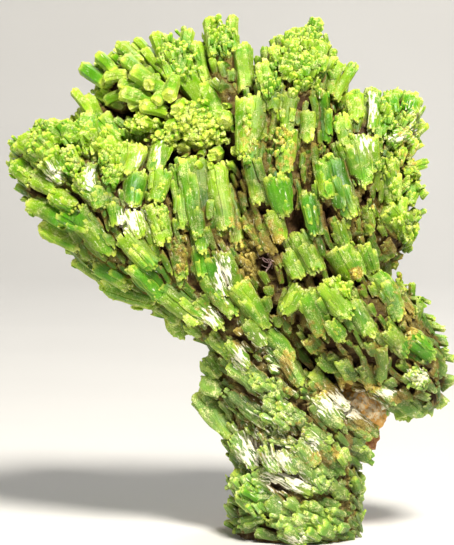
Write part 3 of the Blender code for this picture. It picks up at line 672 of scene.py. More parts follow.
def limb_segments():
    """Each stretch between two knots of a limb, as (x, y, z, half width, half depth) pairs."""
    pairs = []
    for knots in LIMBS.values():
        knots = [np.array([*plate(u, v, y), wide, deep]) for u, v, y, wide, deep in knots]
        pairs += zip(knots[:-1], knots[1:])
    return pairs


SEGMENTS = limb_segments()


def nearest_on(segment, flat):
    """The place on a stretch's axis nearest to each (x, z), with the stretch's half sizes there."""
    a, b = segment
    start = a[[0, 2]]
    along = b[[0, 2]] - start
    t = np.clip((flat - start) @ along / (along @ along), 0, 1)
    return a + t[..., None] * (b - a)


def segment_reaches(points):
    """How far out each point lies on each stretch: under 1 is inside, 1 is its surface."""
    columns = []
    flat = points[:, [0, 2]]
    for segment in SEGMENTS:
        here = nearest_on(segment, flat)
        across = np.linalg.norm(flat - here[:, [0, 2]], axis=1) / here[:, 3]
        deep = (points[:, 1] - here[:, 1]) / here[:, 4]
        columns.append(np.sqrt(across**2 + deep**2))
    return np.stack(columns, axis=1)


def reach(points):
    """The least reach over all limbs, so 1 is the growth surface of the whole cluster."""
    return segment_reaches(points).min(axis=1)


def slope_of(points):
    """The gradient of reach, which points straight out of the cluster."""
    columns = []
    for axis in range(3):
        shift = np.zeros(3)
        shift[axis] = SLOPE_STEP
        columns.append((reach(points + shift) - reach(points - shift)) / (2 * SLOPE_STEP))
    return np.stack(columns, axis=1)


def limb_directions(points):
    """The way the nearest limb grows at each point, from its root to its tip."""
    ways = unit([b[:3] - a[:3] for a, b in SEGMENTS])
    return ways[segment_reaches(points).argmin(axis=1)]


def outline_gap(point):
    """How far a point lies outside the limbs' outline, seen from the front; inside is negative."""
    flat = point[[0, 2]]
    places = [nearest_on(segment, flat) for segment in SEGMENTS]
    return min(math.dist(flat, here[[0, 2]]) - here[3] for here in places)


def front_depth(u, v):
    """The y of the growth surface at (u, v), seen from the display side."""
    depths = np.arange(*DEPTH_SCAN)
    line = np.stack([plate(u, v, y) for y in depths])
    reaches = reach(line)
    inside = np.flatnonzero(reaches < 1)
    return depths[inside[0]] if len(inside) else depths[np.argmin(reaches)]


def face_crystals(group):
    """A display group's crystals as (lower end, upper end, outward, width)."""
    grown = []
    for u0, v0, u1, v1, width, rise in FACE_CRYSTALS[group]:
        sunk = EMBEDDING * width
        low = plate(u0, v0, front_depth(u0, v0) + sunk - LOWER_END_LIFT)
        high = plate(u1, v1, front_depth(u1, v1) + sunk - rise)
        steepest = STEEPEST_RISE * math.hypot(u1 - u0, v1 - v0) + abs(rise)
        high[1] = np.clip(high[1], low[1] - steepest, low[1] + steepest)
        grown.append((low, high, np.array([0.0, -1.0, 0.0]), width))
    return grown


def in_matrix(point):
    """True for a point of the growth surface that the matrix covers."""
    for u, v, y, wide, deep, tall in MATRIX_CHUNKS:
        offset = (point - plate(u, v, y)) / np.array([wide, deep, tall])
        if np.linalg.norm(offset) < CLEAR_OF_MATRIX:
            return True
    return False


def drawn_to_surface(points):
    """Points moved straight onto the growth surface, with the way out at each."""
    points = points[np.abs(reach(points) - 1) < NEAR_SURFACE]
    for _ in range(PULLS_TO_SURFACE):
        slope = slope_of(points)
        points = points - ((reach(points) - 1) / (slope**2).sum(1))[:, None] * slope
    return points, unit(slope_of(points))


def layout_box():
    """The lowest and highest (u, v, y) of the limbs, with room for their width."""
    knots = np.concatenate([np.array(limb) for limb in LIMBS.values()])
    margin = knots[:, 3:].max()
    return knots[:, :3].min(axis=0) - margin, knots[:, :3].max(axis=0) + margin


def rule_crystals():
    """The solids' crystals on the sides and the back, as (lower end, upper end, outward, width)."""
    rng = random.Random(SEED)
    lows, highs = layout_box()
    tries = [[rng.uniform(a, b) for a, b in zip(lows, highs)] for _ in range(SURFACE_TRIES)]
    points, outs = drawn_to_surface(np.array([plate(*row) for row in tries]))
    kept = []
    grown = []
    for point, out in zip(points, outs):
        if out[1] < FRONT_FACING or point[2] < CLEAR_OF_BASE or in_matrix(point):
            continue
        if kept and np.min(np.linalg.norm(np.array(kept) - point, axis=1)) < SPACING:
            continue
        axis = unit(limb_directions(point[None])[0] + LEAN_OUT * out)
        length = rng.uniform(*RULE_LENGTH)
        width = rng.uniform(*RULE_WIDTH)
        middle = point - RULE_SINK * width * out
        for share in CUT_BACKS:
            high = middle + (share - 0.5) * length * axis
            if outline_gap(high) < OUTLINE_SLACK:
                kept.append(point)
                grown.append((middle - 0.5 * length * axis, high, out, width))
                break
    return grown


def spread_points(tries, spacing, rng):
    """Points of the growth surface at least spacing apart, with the way out at each."""
    lows, highs = layout_box()
    thrown = rng.uniform(lows, highs, (tries, 3))
    thrown = np.column_stack([thrown[:, 0] - BASE_U, thrown[:, 2], BASE_V - thrown[:, 1]])
    points, outs = drawn_to_surface(thrown)
    cells = {}
    kept = []
    for i, point in enumerate(points):
        cell = tuple((point // spacing).astype(int))
        near = [
            j
            for dx in (-1, 0, 1)
            for dy in (-1, 0, 1)
            for dz in (-1, 0, 1)
            for j in cells.get((cell[0] + dx, cell[1] + dy, cell[2] + dz), ())
        ]
        if near and (((points[near] - point) ** 2).sum(1) < spacing**2).any():
            continue
        cells.setdefault(cell, []).append(i)
        kept.append(i)
    return points[kept], outs[kept]


# How small crystals follow the blades in front: blur in square millimetres, and where on the
# way round this ends and over what span. Behind, how far they lean out from the limb.
FLOW_BLUR = 1.2
FLOW_TURN = 0.1
FLOW_BLEND = 0.45
FLOW_LEAN = 0.5


def growth_flow(points, outs):
    """Which way small crystals point: with the blades in front, with the limb elsewhere."""
    crystals = [crystal for group in FACE_CRYSTALS for crystal in face_crystals(group)]
    middles = np.array([(low + high) / 2 for low, high, _, _ in crystals])
    ways = unit([high - low for low, high, _, _ in crystals])
    behind = unit(limb_directions(points) + FLOW_LEAN * outs)
    flow = np.empty_like(points)
    for i, point in enumerate(points):
        weight = 1 / (FLOW_BLUR + ((middles - point) ** 2).sum(1)) ** 2
        front = unit(weight @ ways)
        share = np.clip((FLOW_TURN - outs[i, 1]) / FLOW_BLEND, 0, 1)
        flow[i] = share * front + (1 - share) * behind[i]
    return unit(flow)


# Vertices, faces and the values of each vertex, for crystals of one kind
Growth = namedtuple("Growth", "points faces grain ends tint")
# One small prism
Column = namedtuple("Column", "low high out width tint")

# How a crystal is shaped. Lengths are in millimetres, and shares are of its width or length.
Habit = namedtuple(
    "Habit",
    "ragged strip_shift strip_lift rib_lift tongue shoulder foot_spread barrel bow wobble"
    " rim_bevel rim_inset mouth_inset mouth_depth rows closeness",
)
BLADE_HABIT = Habit(
    ragged=0.17,
    strip_shift=0.045,
    strip_lift=0.06,
    rib_lift=0.014,
    tongue=0.4,
    shoulder=0.16,
    foot_spread=0.72,
    barrel=0.06,
    bow=0.02,
    wobble=0.03,
    rim_bevel=0.12,
    rim_inset=0.88,
    mouth_inset=0.5,
    mouth_depth=0.12,
    rows=1.0,
    closeness=0.85,
)
FREE_HABIT = BLADE_HABIT._replace(
    ragged=0.07,
    strip_shift=0.02,
    strip_lift=0.04,
    rib_lift=0.012,
    tongue=0.0,
    shoulder=0.05,
    foot_spread=0.82,
    barrel=0.0,
    bow=0.01,
    rim_bevel=0.22,
    rim_inset=0.8,
    mouth_inset=0.42,
    mouth_depth=0.06,
    rows=0.6,
    closeness=0.8,
)
SIDE_HABIT = BLADE_HABIT._replace(rows=0.5)
GAP_HABIT = BLADE_HABIT._replace(
    ragged=0.16,
    strip_lift=0.05,
    rim_inset=0.8,
    rows=0.4,
    closeness=1.2,
)

# A blade's section: how deep it is in front and behind, as shares of its width, and its
# roundness, where 2 is an ellipse. Its ribs are wider on the hidden side, where the cosine of
# the way round is under RIB_TURN and the outline counts for this share.
SECTION_STEPS = 721
BLADE_ROUNDNESS = 2.1
BLADE_FRONT = 0.33
BLADE_BACK = 0.46
RIB_TURN = -0.3
HIDDEN_SHARE = 0.35
# Ribs: the share of its place that each fills, its width, how many a blade can have, its girth
# over its width, and how often the next rib starts a new strip
RIB_SHARE = 0.84
RIB_WIDTH = 0.3
RIB_COUNTS = (5, 8, 12, 17, 22, 28)
GIRTH = 2.2
STRIP_CHANCE = 0.3
# Blades: how wide one is whose ribs stand out fully, how far an end may stick out or stay back,
# the longest bevel as a share of the length, how their width grows from foot to head, and how
# far their tone and that of their ribs varies
FULL_RELIEF_WIDTH = 2
END_PROUD = 0.3
END_BACK = 0.35
LONGEST_BEVEL = 0.15
WIDENING = 0.8
BLADE_TONE = 0.35
RIB_TONE = 0.1
# How far apart the grain of two crystals can be
GRAIN_SPREAD = 40
# Waves of the whole growth, as (scale, distance)
UNEVEN_LAYERS = ((2.4, 0.2), (0.75, 0.12), (0.3, 0.05))
# Above this height the waves get lower: over what height, and by what share
STEM_TOP = 20.0
CALMING_HEIGHT = 12.0
CALMING = 0.6


def section_ribs(ribs):
    """Corners of a blade's section, two to a rib, as (across, outward) shares of its width.

    The side that is turned to the limb has wider ribs.
    """
    dense = np.linspace(0, 2 * math.pi, SECTION_STEPS)
    sine, cosine = np.sin(dense), np.cos(dense)
    size = np.abs(sine) ** BLADE_ROUNDNESS + np.abs(cosine) ** BLADE_ROUNDNESS
    size **= -1 / BLADE_ROUNDNESS
    deep = np.where(cosine > 0, BLADE_FRONT, BLADE_BACK)
    outline = np.stack([0.5 * sine * size, deep * cosine * size], axis=1)
    steps = np.linalg.norm(np.diff(outline, axis=0), axis=1)
    steps *= np.where(cosine[1:] > RIB_TURN, 1.0, HIDDEN_SHARE)
    run = np.concatenate([[0], np.cumsum(steps)])
    places = [
        (k + 0.5 + side * RIB_SHARE) / ribs * run[-1] for k in range(ribs) for side in (-0.5, 0.5)
    ]
    return np.stack([np.interp(places, run, outline[:, axis]) for axis in (0, 1)], axis=1)


def hexagon_ribs(ribs):
    """Corners of a ribbed hexagon with its flats in front, two to a rib."""
    places = [(k + 0.5 + side * RIB_SHARE) / ribs for k in range(ribs) for side in (-0.5, 0.5)]
    angles = 2 * math.pi * np.array(places)
    off_flat = (angles + math.pi / 6) % (math.pi / 3) - math.pi / 6
    size = 0.5 * math.cos(math.pi / 6) / np.cos(off_flat)
    return np.stack([size * np.sin(angles), size * np.cos(angles)], axis=1)


def by_strip(rng, n, ribs):
    """A number for each rib that neighbouring ribs of one strip share, with spread one."""
    strip = np.cumsum(rng.random((n, ribs)) < STRIP_CHANCE, axis=1)
    return np.take_along_axis(rng.normal(0, 1, (n, ribs + 1)), strip, axis=1)


def frames_of(low, high, out):
    """Axis, outward and sideways directions of crystals, and their lengths."""
    axis = unit(high - low)
    out = unit(out - axis * (out * axis).sum(1)[:, None])
    return axis, out, np.cross(axis, out), np.linalg.norm(high - low, axis=1)


def placed(low, axis, side, out, flat, along):
    """Points in space from their places across and along each crystal."""
    return (
        low[:, None]
        + axis[:, None] * along[..., None]
        + side[:, None] * flat[..., :1]
        + out[:, None] * flat[..., 1:]
    )


def ring_faces(rings, around, start):
    """Quads between rings of vertices in each crystal, counted from its first vertex."""
    faces = []
    for lower, upper in rings:
        for k in range(around):
            n = (k + 1) % around
            quad = [lower + k, lower + n, upper + n, upper + k]
            faces += (start + np.array(quad)).tolist()
    return faces


def fan_faces(ring, around, centre, start, upward):
    """Triangles from a ring of vertices to a middle vertex in each crystal."""
    faces = []
    for k in range(around):
        pair = [ring + k, ring + (k + 1) % around]
        faces += (start + np.array([*(pair if upward else pair[::-1]), centre])).tolist()
    return faces


def growth_of(points, faces, local, length, flank, tint, rng, closeness):
    """Crystals as one growth, with the values that the crystals' material reads.

    The ends value holds how far a vertex is from the lower end, the upper end and the flanks,
    times closeness, so that small crystals have narrow rims.
    """
    along = local[..., 2]
    ends = closeness * np.stack([along, length[:, None] - along, flank], axis=2)
    grain = local + rng.uniform(0, GRAIN_SPREAD, (len(points), 1, 3))
    flat = [values.reshape(-1, 3) for values in (points, grain, ends)]
    return Growth(flat[0], faces, flat[1], flat[2], tint.reshape(-1))


def uneven(points, layers):
    """Points moved by smooth noise, given as (scale, distance), less so above the stem."""
    noise.seed_set(SEED)
    calm = np.clip((points[:, 2:] - STEM_TOP) / CALMING_HEIGHT, 0, CALMING)
    for scale, distance in layers:
        moves = [tuple(noise.noise_vector(place)) for place in (points / scale).tolist()]
        points = points + distance * (1 - calm) * np.array(moves)
    return points


def growth_mesh(name, growths):
    """One mesh of several growths."""
    mesh = bpy.data.meshes.new(name)
    points = uneven(np.concatenate([growth.points for growth in growths]), UNEVEN_LAYERS)
    faces = []
    start = 0
    for growth in growths:
        faces += [[start + i for i in face] for face in growth.faces]
        start += len(growth.points)
    mesh.from_pydata((points * MM).tolist(), [], faces)
    mesh.update()
    for key in ("grain", "ends", "tint"):
        set_values(mesh, key, np.concatenate([getattr(growth, key) for growth in growths]))
    set_area_values(mesh, points)
    return mesh


def blades(crystals, section, habit, rng):
    """Closed ribbed blades, each given as (lower end, upper end, outward, width).

    Neighbouring ribs differ a little in height and in where they end, so a blade has fine steps
    along it and teeth at both ends. Its ends are shallow mouths.
    """
    n = len(crystals)
    ribs = len(section) // 2
    around = 2 * ribs
    low, high, out = (np.array([crystal[i] for crystal in crystals]) for i in range(3))
    width = np.array([crystal[3] for crystal in crystals])
    axis, out, side, length = frames_of(low, high, out)

    def per_rib(values):
        return np.repeat(values, 2, axis=1)

    share = per_rib(np.abs(section[::2, 0] + section[1::2, 0])[None])
    lift = habit.strip_lift * by_strip(rng, n, ribs) + rng.normal(0, habit.rib_lift, (n, ribs))
    lift = per_rib(lift * np.minimum(width, FULL_RELIEF_WIDTH)[:, None] / FULL_RELIEF_WIDTH)
    spans = []
    for edge_share in (habit.tongue, habit.shoulder):
        shift = habit.strip_shift * length[:, None] * by_strip(rng, n, ribs)
        teeth = np.abs(rng.normal(0, habit.ragged, (n, ribs)))
        span = per_rib(shift + teeth) + edge_share * width[:, None] * share**2
        spans.append(np.clip(span, -END_PROUD, END_BACK * length[:, None]))
    foot = spans[0]
    head = length[:, None] - spans[1]
    bow = rng.normal(0, habit.bow, (n, 2)) * length[:, None]
    bow[:, 1] = np.abs(bow[:, 1])
    bevel = np.minimum(habit.rim_bevel, LONGEST_BEVEL * (head - foot))
    stations = [(foot, habit.rim_inset), (foot + bevel, 1.0)]
    rows = round(habit.rows * length.mean())
    stations += [(foot + (k + 1) / (rows + 1) * (head - foot), 1.0) for k in range(rows)]
    stations += [(head - bevel, 1.0), (head, habit.rim_inset)]
    mouths = (foot.mean(1) + habit.mouth_depth, head.mean(1) - habit.mouth_depth)
    for place, index in zip(mouths, (0, len(stations) + 1)):
        ring = place[:, None] + rng.normal(0, 0.5 * habit.mouth_depth, (n, around))
        stations.insert(index, (ring, habit.mouth_inset))
    flat_section = section[None] * width[:, None, None] + unit(section)[None] * lift[..., None]
    rings = []
    local = []
    flanks = []
    for along, inset in stations:
        t = np.clip(along / length[:, None], 0, 1)
        spread = habit.foot_spread + (1 - habit.foot_spread) * t**WIDENING
        spread = spread * (1 + habit.barrel * np.sin(math.pi * t)) * inset
        wobble = rng.normal(0, habit.wobble, (n, 1, 2)) * (inset == 1.0)
        bent = bow[:, None] * (4 * t * (1 - t))[..., None]
        flat = flat_section * spread[..., None]
        flanks.append(0.5 * width[:, None] * spread - np.abs(flat[..., 0]))
        flat = flat + wobble + bent
        rings.append(placed(low, axis, side, out, flat, along))
        local.append(np.concatenate([flat, along[..., None]], axis=2))
    for place in mouths:
        rings.append((low + axis * place[:, None])[:, None])
        local.append(np.stack([0 * place, 0 * place, place], axis=1)[:, None])
        flanks.append(0.5 * width[:, None])
    points = np.concatenate(rings, axis=1)
    local = np.concatenate(local, axis=1)
    count = len(stations)
    start = np.arange(n)[:, None] * points.shape[1]
    faces = ring_faces([(i * around, (i + 1) * around) for i in range(count - 1)], around, start)
    faces += fan_faces(0, around, count * around, start, upward=False)
    faces += fan_faces((count - 1) * around, around, count * around + 1, start, upward=True)
    tone = rng.normal(0, BLADE_TONE, (n, 1)) + per_rib(rng.normal(0, RIB_TONE, (n, ribs)))
    tint = np.concatenate([tone] * count + [tone.mean(1)[:, None]] * 2, axis=1)
    flank = np.concatenate(flanks, axis=1)
    return growth_of(points, faces, local, length, flank, tint, rng, habit.closeness)


def blades_by_size(crystals, habit, rng):
    """Blades with as many ribs as their width asks for, a growth for each count."""
    classes = {}
    for crystal in crystals:
        wanted = GIRTH * crystal[3] / RIB_WIDTH
        ribs = min(RIB_COUNTS, key=lambda count: abs(count - wanted))
        classes.setdefault(ribs, []).append(crystal)
    return [blades(same, section_ribs(ribs), habit, rng) for ribs, same in sorted(classes.items())]


# Laths lie on the front of a blade. Their sizes and places are shares of the blade's, and one
# stays within LATH_HOLD of the blade's width and fans out by LATH_FAN.
LATH_LEAST_WIDTH = 1.3
LATHS_PER_MILLIMETRE = 1.1
LATH_WIDTH = (0.26, 0.5)
LATH_LENGTH = (0.3, 0.62)
LATH_ACROSS = 0.42
LATH_ALONG = (-0.04, 1.03)
LATH_PROUD = 0.12
LATH_HOLD = 0.85
LATH_FAN = 0.15
LATH_TILT = 0.1

# Teeth stand round the front of a blade's ends, up to an angle from its middle and at a share
# of the way out. Their other sizes are in millimetres.
TEETH_PER_MILLIMETRE = 3.4
TOOTH_ANGLE = 1.9
TOOTH_INSET = (0.8, 1.02)
TOOTH_WIDTH = (0.2, 0.4)
TOOTH_REACH = (-0.18, 0.14)
TOOTH_BACK = 0.1
TOOTH_ROOT = 0.6
TOOTH_SPLAY = 0.05
TOOTH_LEAN = 0.12
TOOTH_TONE = (0.1, 0.3)


def laths(crystals, rng):
    """Thinner blades that lie on the front of each crystal and end at different places."""
    made = []
    for low, high, outward, width in crystals:
        if width < LATH_LEAST_WIDTH:
            continue
        axis, out, side, length = (part[0] for part in frames_of(low[None], high[None], outward))
        for _ in range(round(width * LATHS_PER_MILLIMETRE)):
            across = rng.uniform(-LATH_ACROSS, LATH_ACROSS)
            size = width * rng.uniform(*LATH_WIDTH)
            span = length * rng.uniform(*LATH_LENGTH)
            start = rng.uniform(*LATH_ALONG) * (length - span)
            height = BLADE_FRONT * width * math.sqrt(1 - 4 * across**2)
            slope = math.atan2(2 * across * BLADE_FRONT * width, 0.5 * width)
            turned = out * math.cos(slope) + side * math.sin(slope)
            lift = height - (BLADE_FRONT - LATH_PROUD) * size
            foot = low + side * across * width * LATH_HOLD + out * lift + axis * start
            tilt = rng.uniform(-LATH_TILT, LATH_TILT)
            head = foot + axis * span + side * across * LATH_FAN * width + out * tilt
            made.append((foot, head, turned, size))
    return made


def teeth(crystals, rng):
    """Small prisms round the front of both ends of each crystal."""
    made = []
    for low, high, outward, width in crystals:
        axis, out, side, length = (part[0] for part in frames_of(low[None], high[None], outward))
        for end, way, spread in ((low, -1, BLADE_HABIT.foot_spread), (high, 1, 1.0)):
            for _ in range(round(width * TEETH_PER_MILLIMETRE)):
                angle = rng.uniform(-TOOTH_ANGLE, TOOTH_ANGLE)
                inset = rng.uniform(*TOOTH_INSET) * spread
                across = 0.5 * math.sin(angle) * inset * width
                proud = BLADE_FRONT * math.cos(angle) * inset * width
                edge = BLADE_HABIT.tongue if way < 0 else BLADE_HABIT.shoulder
                back = edge * width * (math.sin(angle) * inset) ** 2 + TOOTH_BACK
                middle = end + side * across + out * proud - way * axis * back
                splay = TOOTH_SPLAY * np.array([rng.gauss(0, 1) for _ in range(3)])
                aim = unit(way * axis + splay + TOOTH_LEAN * out * math.cos(angle))
                head = middle + aim * rng.uniform(*TOOTH_REACH)
                size = rng.uniform(*TOOTH_WIDTH)
                tone = rng.gauss(*TOOTH_TONE)
                made.append(Column(head - aim * TOOTH_ROOT, head, out, size, tone))
    return made


def area_mask(points, areas):
    """Strength of the areas that each point lies in, 0 outside, on what faces the viewer."""
    mask = np.zeros(len(points))
    for u, v, wide, tall, strength in areas:
        middle = plate(u, v)
        off = np.hypot((points[:, 0] - middle[0]) / wide, (points[:, 2] - middle[2]) / tall)
        mask = np.maximum(mask, strength * np.clip(AREAS_EDGE - off, 0, 1))
    return mask * np.clip((AREAS_END - points[:, 1]) / AREAS_FADE, 0, 1)


def set_values(mesh, name, values):
    """Keeps a value or vector for each vertex, for the materials to read."""
    vector = values.ndim == 2
    layer = mesh.attributes.new(name, "FLOAT_VECTOR" if vector else "FLOAT", "POINT")
    layer.data.foreach_set("vector" if vector else "value", values.astype(np.float32).ravel())


def set_area_values(mesh, points):
    """Keeps the colour areas' masks, and how deep each vertex lies, lower in hollows and higher
    behind, which sets the painted shade.
    """
    masks = [area_mask(points, areas) for areas in (RUST_AREAS, CRUST_AREAS, FRESH_AREAS)]
    set_values(mesh, "areas", np.stack(masks, axis=1))
    lift = BACK_LIFT * np.clip((points[:, 1] - BACK_LIFT_START) / BACK_LIFT_SPAN, 0, 1)
    shade = HOLLOW_SHADE * area_mask(points, HOLLOWS)
    set_values(mesh, "reach", reach(points) + lift - shade)


# A distance, in millimetres, at which nothing shows of a rim
FAR_FROM_RIM = 5.0
# Small prisms: how much more their distances from an end count, the size of their foot and tip,
# how long and how uneven the bevel of the tip is, and how uneven their sides are
PRISM_SIDES = 6
PRISM_CLOSENESS = 2.6
FOOT_SIZE = 0.8
TIP_SIZE = 0.6
TIP_BEVEL_SHARE = 0.25
LONGEST_TIP_BEVEL = 0.3
TIP_UNEVENNESS = 0.3
UNEVENNESS = 0.07


def prisms(columns, rng):
    """Small closed hexagonal prisms with bevelled tips."""
    n = len(columns)
    low, high, out = (np.array([getattr(c, key) for c in columns]) for key in Column._fields[:3])
    width, tint = np.array([c[3:] for c in columns]).T
    axis, out, side, length = frames_of(low, high, out)
    bevel = np.minimum(TIP_BEVEL_SHARE * width, LONGEST_TIP_BEVEL * length)
    angles = np.radians(30 + 60 * np.arange(PRISM_SIDES))
    hexagon = 0.5 * np.stack([np.sin(angles), np.cos(angles)], axis=1)
    shape = hexagon * width[:, None, None] * (1 + rng.normal(0, UNEVENNESS, (n, PRISM_SIDES, 1)))
    rings = []
    local = []
    for place, size in ((0 * length, FOOT_SIZE), (length - bevel, 1.0), (length, TIP_SIZE)):
        along = np.repeat(place[:, None], PRISM_SIDES, axis=1)
        if size == TIP_SIZE:
            along = along + rng.normal(0, TIP_UNEVENNESS, (n, PRISM_SIDES)) * bevel[:, None]
        flat = shape * size
        rings.append(placed(low, axis, side, out, flat, along))
        local.append(np.concatenate([flat, along[..., None]], axis=2))
    rings.append((low + axis * length[:, None])[:, None])
    local.append(np.stack([0 * length, 0 * length, length], axis=1)[:, None])
    points = np.concatenate(rings, axis=1)
    local = np.concatenate(local, axis=1)
    start = np.arange(n)[:, None] * points.shape[1]
    corners = [(0, PRISM_SIDES), (PRISM_SIDES, 2 * PRISM_SIDES)]
    faces = ring_faces(corners, PRISM_SIDES, start)
    faces += (start + np.arange(PRISM_SIDES)[::-1]).tolist()
    faces += fan_faces(2 * PRISM_SIDES, PRISM_SIDES, 3 * PRISM_SIDES, start, upward=True)
    tints = np.repeat(tint[:, None], points.shape[1], axis=1)
    flank = np.full_like(tints, FAR_FROM_RIM)
    made = growth_of(points, faces, local, length, flank, tints, rng, PRISM_CLOSENESS)
    made.ends[:, 0] = FAR_FROM_RIM
    return made


def cut_at_base(mesh):
    """Cuts a mesh of closed bodies off flat at z = 0 and caps the cut."""
    bm = bmesh.new()
    bm.from_mesh(mesh)
    whole = bm.verts[:] + bm.edges[:] + bm.faces[:]
    cut = bmesh.ops.bisect_plane(
        bm, geom=whole, plane_co=(0, 0, 0), plane_no=(0, 0, -1), clear_outer=True
    )
    rims = [part for part in cut["geom_cut"] if isinstance(part, bmesh.types.BMEdge)]
    bmesh.ops.holes_fill(bm, edges=rims)
    bm.to_mesh(mesh)
    bm.free()


def linked_object(name, data):
    """An object for a mesh, a light or a camera, in the scene."""
    made = bpy.data.objects.new(name, data)
    bpy.context.scene.collection.objects.link(made)
    return made


def finished_mesh(name, bm):
    """The mesh that bm holds."""
    mesh = bpy.data.meshes.new(name)
    bm.to_mesh(mesh)
    bm.free()
    return mesh


def add_piece(name, mesh, material, node):
    """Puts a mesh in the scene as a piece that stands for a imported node."""
    if min(vert.co.z for vert in mesh.vertices) < 0:
        cut_at_base(mesh)
    piece = linked_object(name, mesh)
    mesh.materials.append(material)
    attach(piece, "root")
    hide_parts(node)
    return piece


def add_crystal_piece(name, mesh):
    """A piece of the crystal cluster."""
    return add_piece(name, mesh, crystal_material(), "crystal_cluster")


def remeshed(name, bm, voxel):
    """The bodies of bm fused and meshed evenly, as a mesh in metres."""
    bmesh.ops.recalc_face_normals(bm, faces=bm.faces)
    holder = linked_object(name, finished_mesh(name, bm))
    fuse = holder.modifiers.new("fuse", "REMESH")
    fuse.mode = "VOXEL"
    fuse.voxel_size = voxel
    shown = holder.evaluated_get(bpy.context.evaluated_depsgraph_get())
    fused = bpy.data.meshes.new_from_object(shown)
    bpy.data.objects.remove(holder)
    return fused


def mesh_points(mesh):
    """A mesh's vertices in millimetres."""
    flat = np.empty(len(mesh.vertices) * 3, np.float32)
    mesh.vertices.foreach_get("co", flat)
    return flat.reshape(-1, 3).astype(float) / MM


def move_points(mesh, points):
    """Puts a mesh's vertices at these places in millimetres."""
    mesh.vertices.foreach_set("co", (points * MM).astype(np.float32).ravel())
    mesh.update()


def roughen(mesh, layers):
    """Moves the vertices along their normals by noise, given as (scale in mm, height in mm)."""
    points = mesh_points(mesh)
    ways = np.array([vert.normal for vert in mesh.vertices])
    for scale, height in layers:
        lifts = [height * noise.noise(Vector(point / scale)) for point in points]
        points = points + ways * np.array(lifts)[:, None]
    move_points(mesh, points)


def set_massive_values(mesh):
    """The values that the crystals' material reads, for a mesh with no separate crystals."""
    points = mesh_points(mesh)
    set_values(mesh, "grain", points)
    set_values(mesh, "ends", np.full((len(points), 3), FAR_FROM_RIM))
    set_values(mesh, "tint", np.zeros(len(points)))
    set_area_values(mesh, points)


def sink_hollows(mesh):
    """Pushes the growth back where the display face is open."""
    points = mesh_points(mesh)
    points[:, 1] += area_mask(points, HOLLOWS)
    move_points(mesh, points)


def loft_limb(bm, knots, share, sides):
    """A closed body through a limb's knots, an ellipse at each."""
    knots = [np.array(knot) for knot in knots]
    rings = []
    for i, knot in enumerate(knots):
        before, after = knots[max(i - 1, 0)], knots[min(i + 1, len(knots) - 1)]
        along = unit((after - before)[:2])
        across = np.array([-along[1], along[0]])
        ring = []
        for k in range(sides):
            angle = 2 * math.pi * k / sides
            flat = knot[:2] + across * math.cos(angle) * knot[3] * share
            deep = knot[2] + math.sin(angle) * knot[4] * share
            ring.append(bm.verts.new(plate(*flat, deep) * MM))
        rings.append(ring)
    for lower, upper in zip(rings[:-1], rings[1:]):
        for k in range(sides):
            n = (k + 1) % sides
            bm.faces.new((lower[k], lower[n], upper[n], upper[k]))
    bm.faces.new(rings[0][::-1])
    bm.faces.new(rings[-1])


def surface_tree():
    """A search tree over the crystals made so far."""
    points = []
    faces = []
    for name in (*GROUP_PIECES.values(), "side_crystals", *GAP_PIECES, "massive_growth"):
        piece = bpy.data.objects.get(name)
        if piece is None:
            raise RuntimeError(f"make {name} before the druse that grows on it")
        start = len(points)
        points += [tuple(row) for row in mesh_points(piece.data)]
        faces += [[start + i for i in face.vertices] for face in piece.data.polygons]
    return BVHTree.FromPolygons(points, faces)


class Wiring:
    """Places and joins the nodes of one material or node group."""

    def __init__(self, tree):
        self.tree = tree
        tree.nodes.clear()

    def add(self, kind, inputs=None, **settings):
        """A node with its settings, and its inputs given as values or as sockets to link."""
        made = self.tree.nodes.new(kind)
        for name, value in settings.items():
            setattr(made, name, value)
        for key, value in (inputs or {}).items():
            if isinstance(value, bpy.types.NodeSocket):
                self.tree.links.new(value, made.inputs[key])
            else:
                made.inputs[key].default_value = value
        return made

    def maths(self, operation, a, b):
        """The result of one calculation."""
        return self.add("ShaderNodeMath", {0: a, 1: b}, operation=operation).outputs[0]

    def mix(self, factor, a, b, kind="MIX"):
        """One colour laid over another."""
        inputs = {"Factor": factor, 6: opaque(a), 7: opaque(b)}
        made = self.add("ShaderNodeMix", inputs, data_type="RGBA", blend_type=kind)
        return made.outputs[2]

    def ramp(self, value, start, end, low=0.0, high=1.0):
        """A value spread smoothly from one range to another."""
        inputs = {"Value": value, "From Min": start, "From Max": end, "To Min": low, "To Max": high}
        return self.add("ShaderNodeMapRange", inputs, interpolation_type="SMOOTHSTEP").outputs[0]

    def noise(self, place, scale, detail=2.0, roughness=0.5):
        """Noise that varies over the surface."""
        inputs = {"Vector": place, "Scale": scale, "Detail": detail, "Roughness": roughness}
        return self.add("ShaderNodeTexNoise", inputs).outputs["Fac"]

    def attribute(self, name):
        """A value kept for each vertex."""
        return self.add("ShaderNodeAttribute", attribute_name=name).outputs

    def parts(self, vector):
        """The three parts of a vector."""
        return self.add("ShaderNodeSeparateXYZ", {0: vector}).outputs

    def place(self):
        """The place on the piece, in millimetres."""
        coordinates = self.add("ShaderNodeTexCoord").outputs["Object"]
        inputs = {0: coordinates, "Scale": 1 / MM}
        return self.add("ShaderNodeVectorMath", inputs, operation="SCALE").outputs[0]

    def group(self, tree, inputs):
        """A shared node group with this material's values."""
        return self.add("ShaderNodeGroup", inputs, node_tree=tree).outputs

    def cover(self, place, amount, scale, breakup):
        """A mask with a ragged edge."""
        inputs = {"Place": place, "Amount": amount, "Scale": scale, "Breakup": breakup}
        return self.group(ragged_cover_group(), inputs)["Cover"]


def opaque(colour):
    """A colour with alpha, or the socket that gives one."""
    return colour if isinstance(colour, bpy.types.NodeSocket) else (*colour, 1.0)


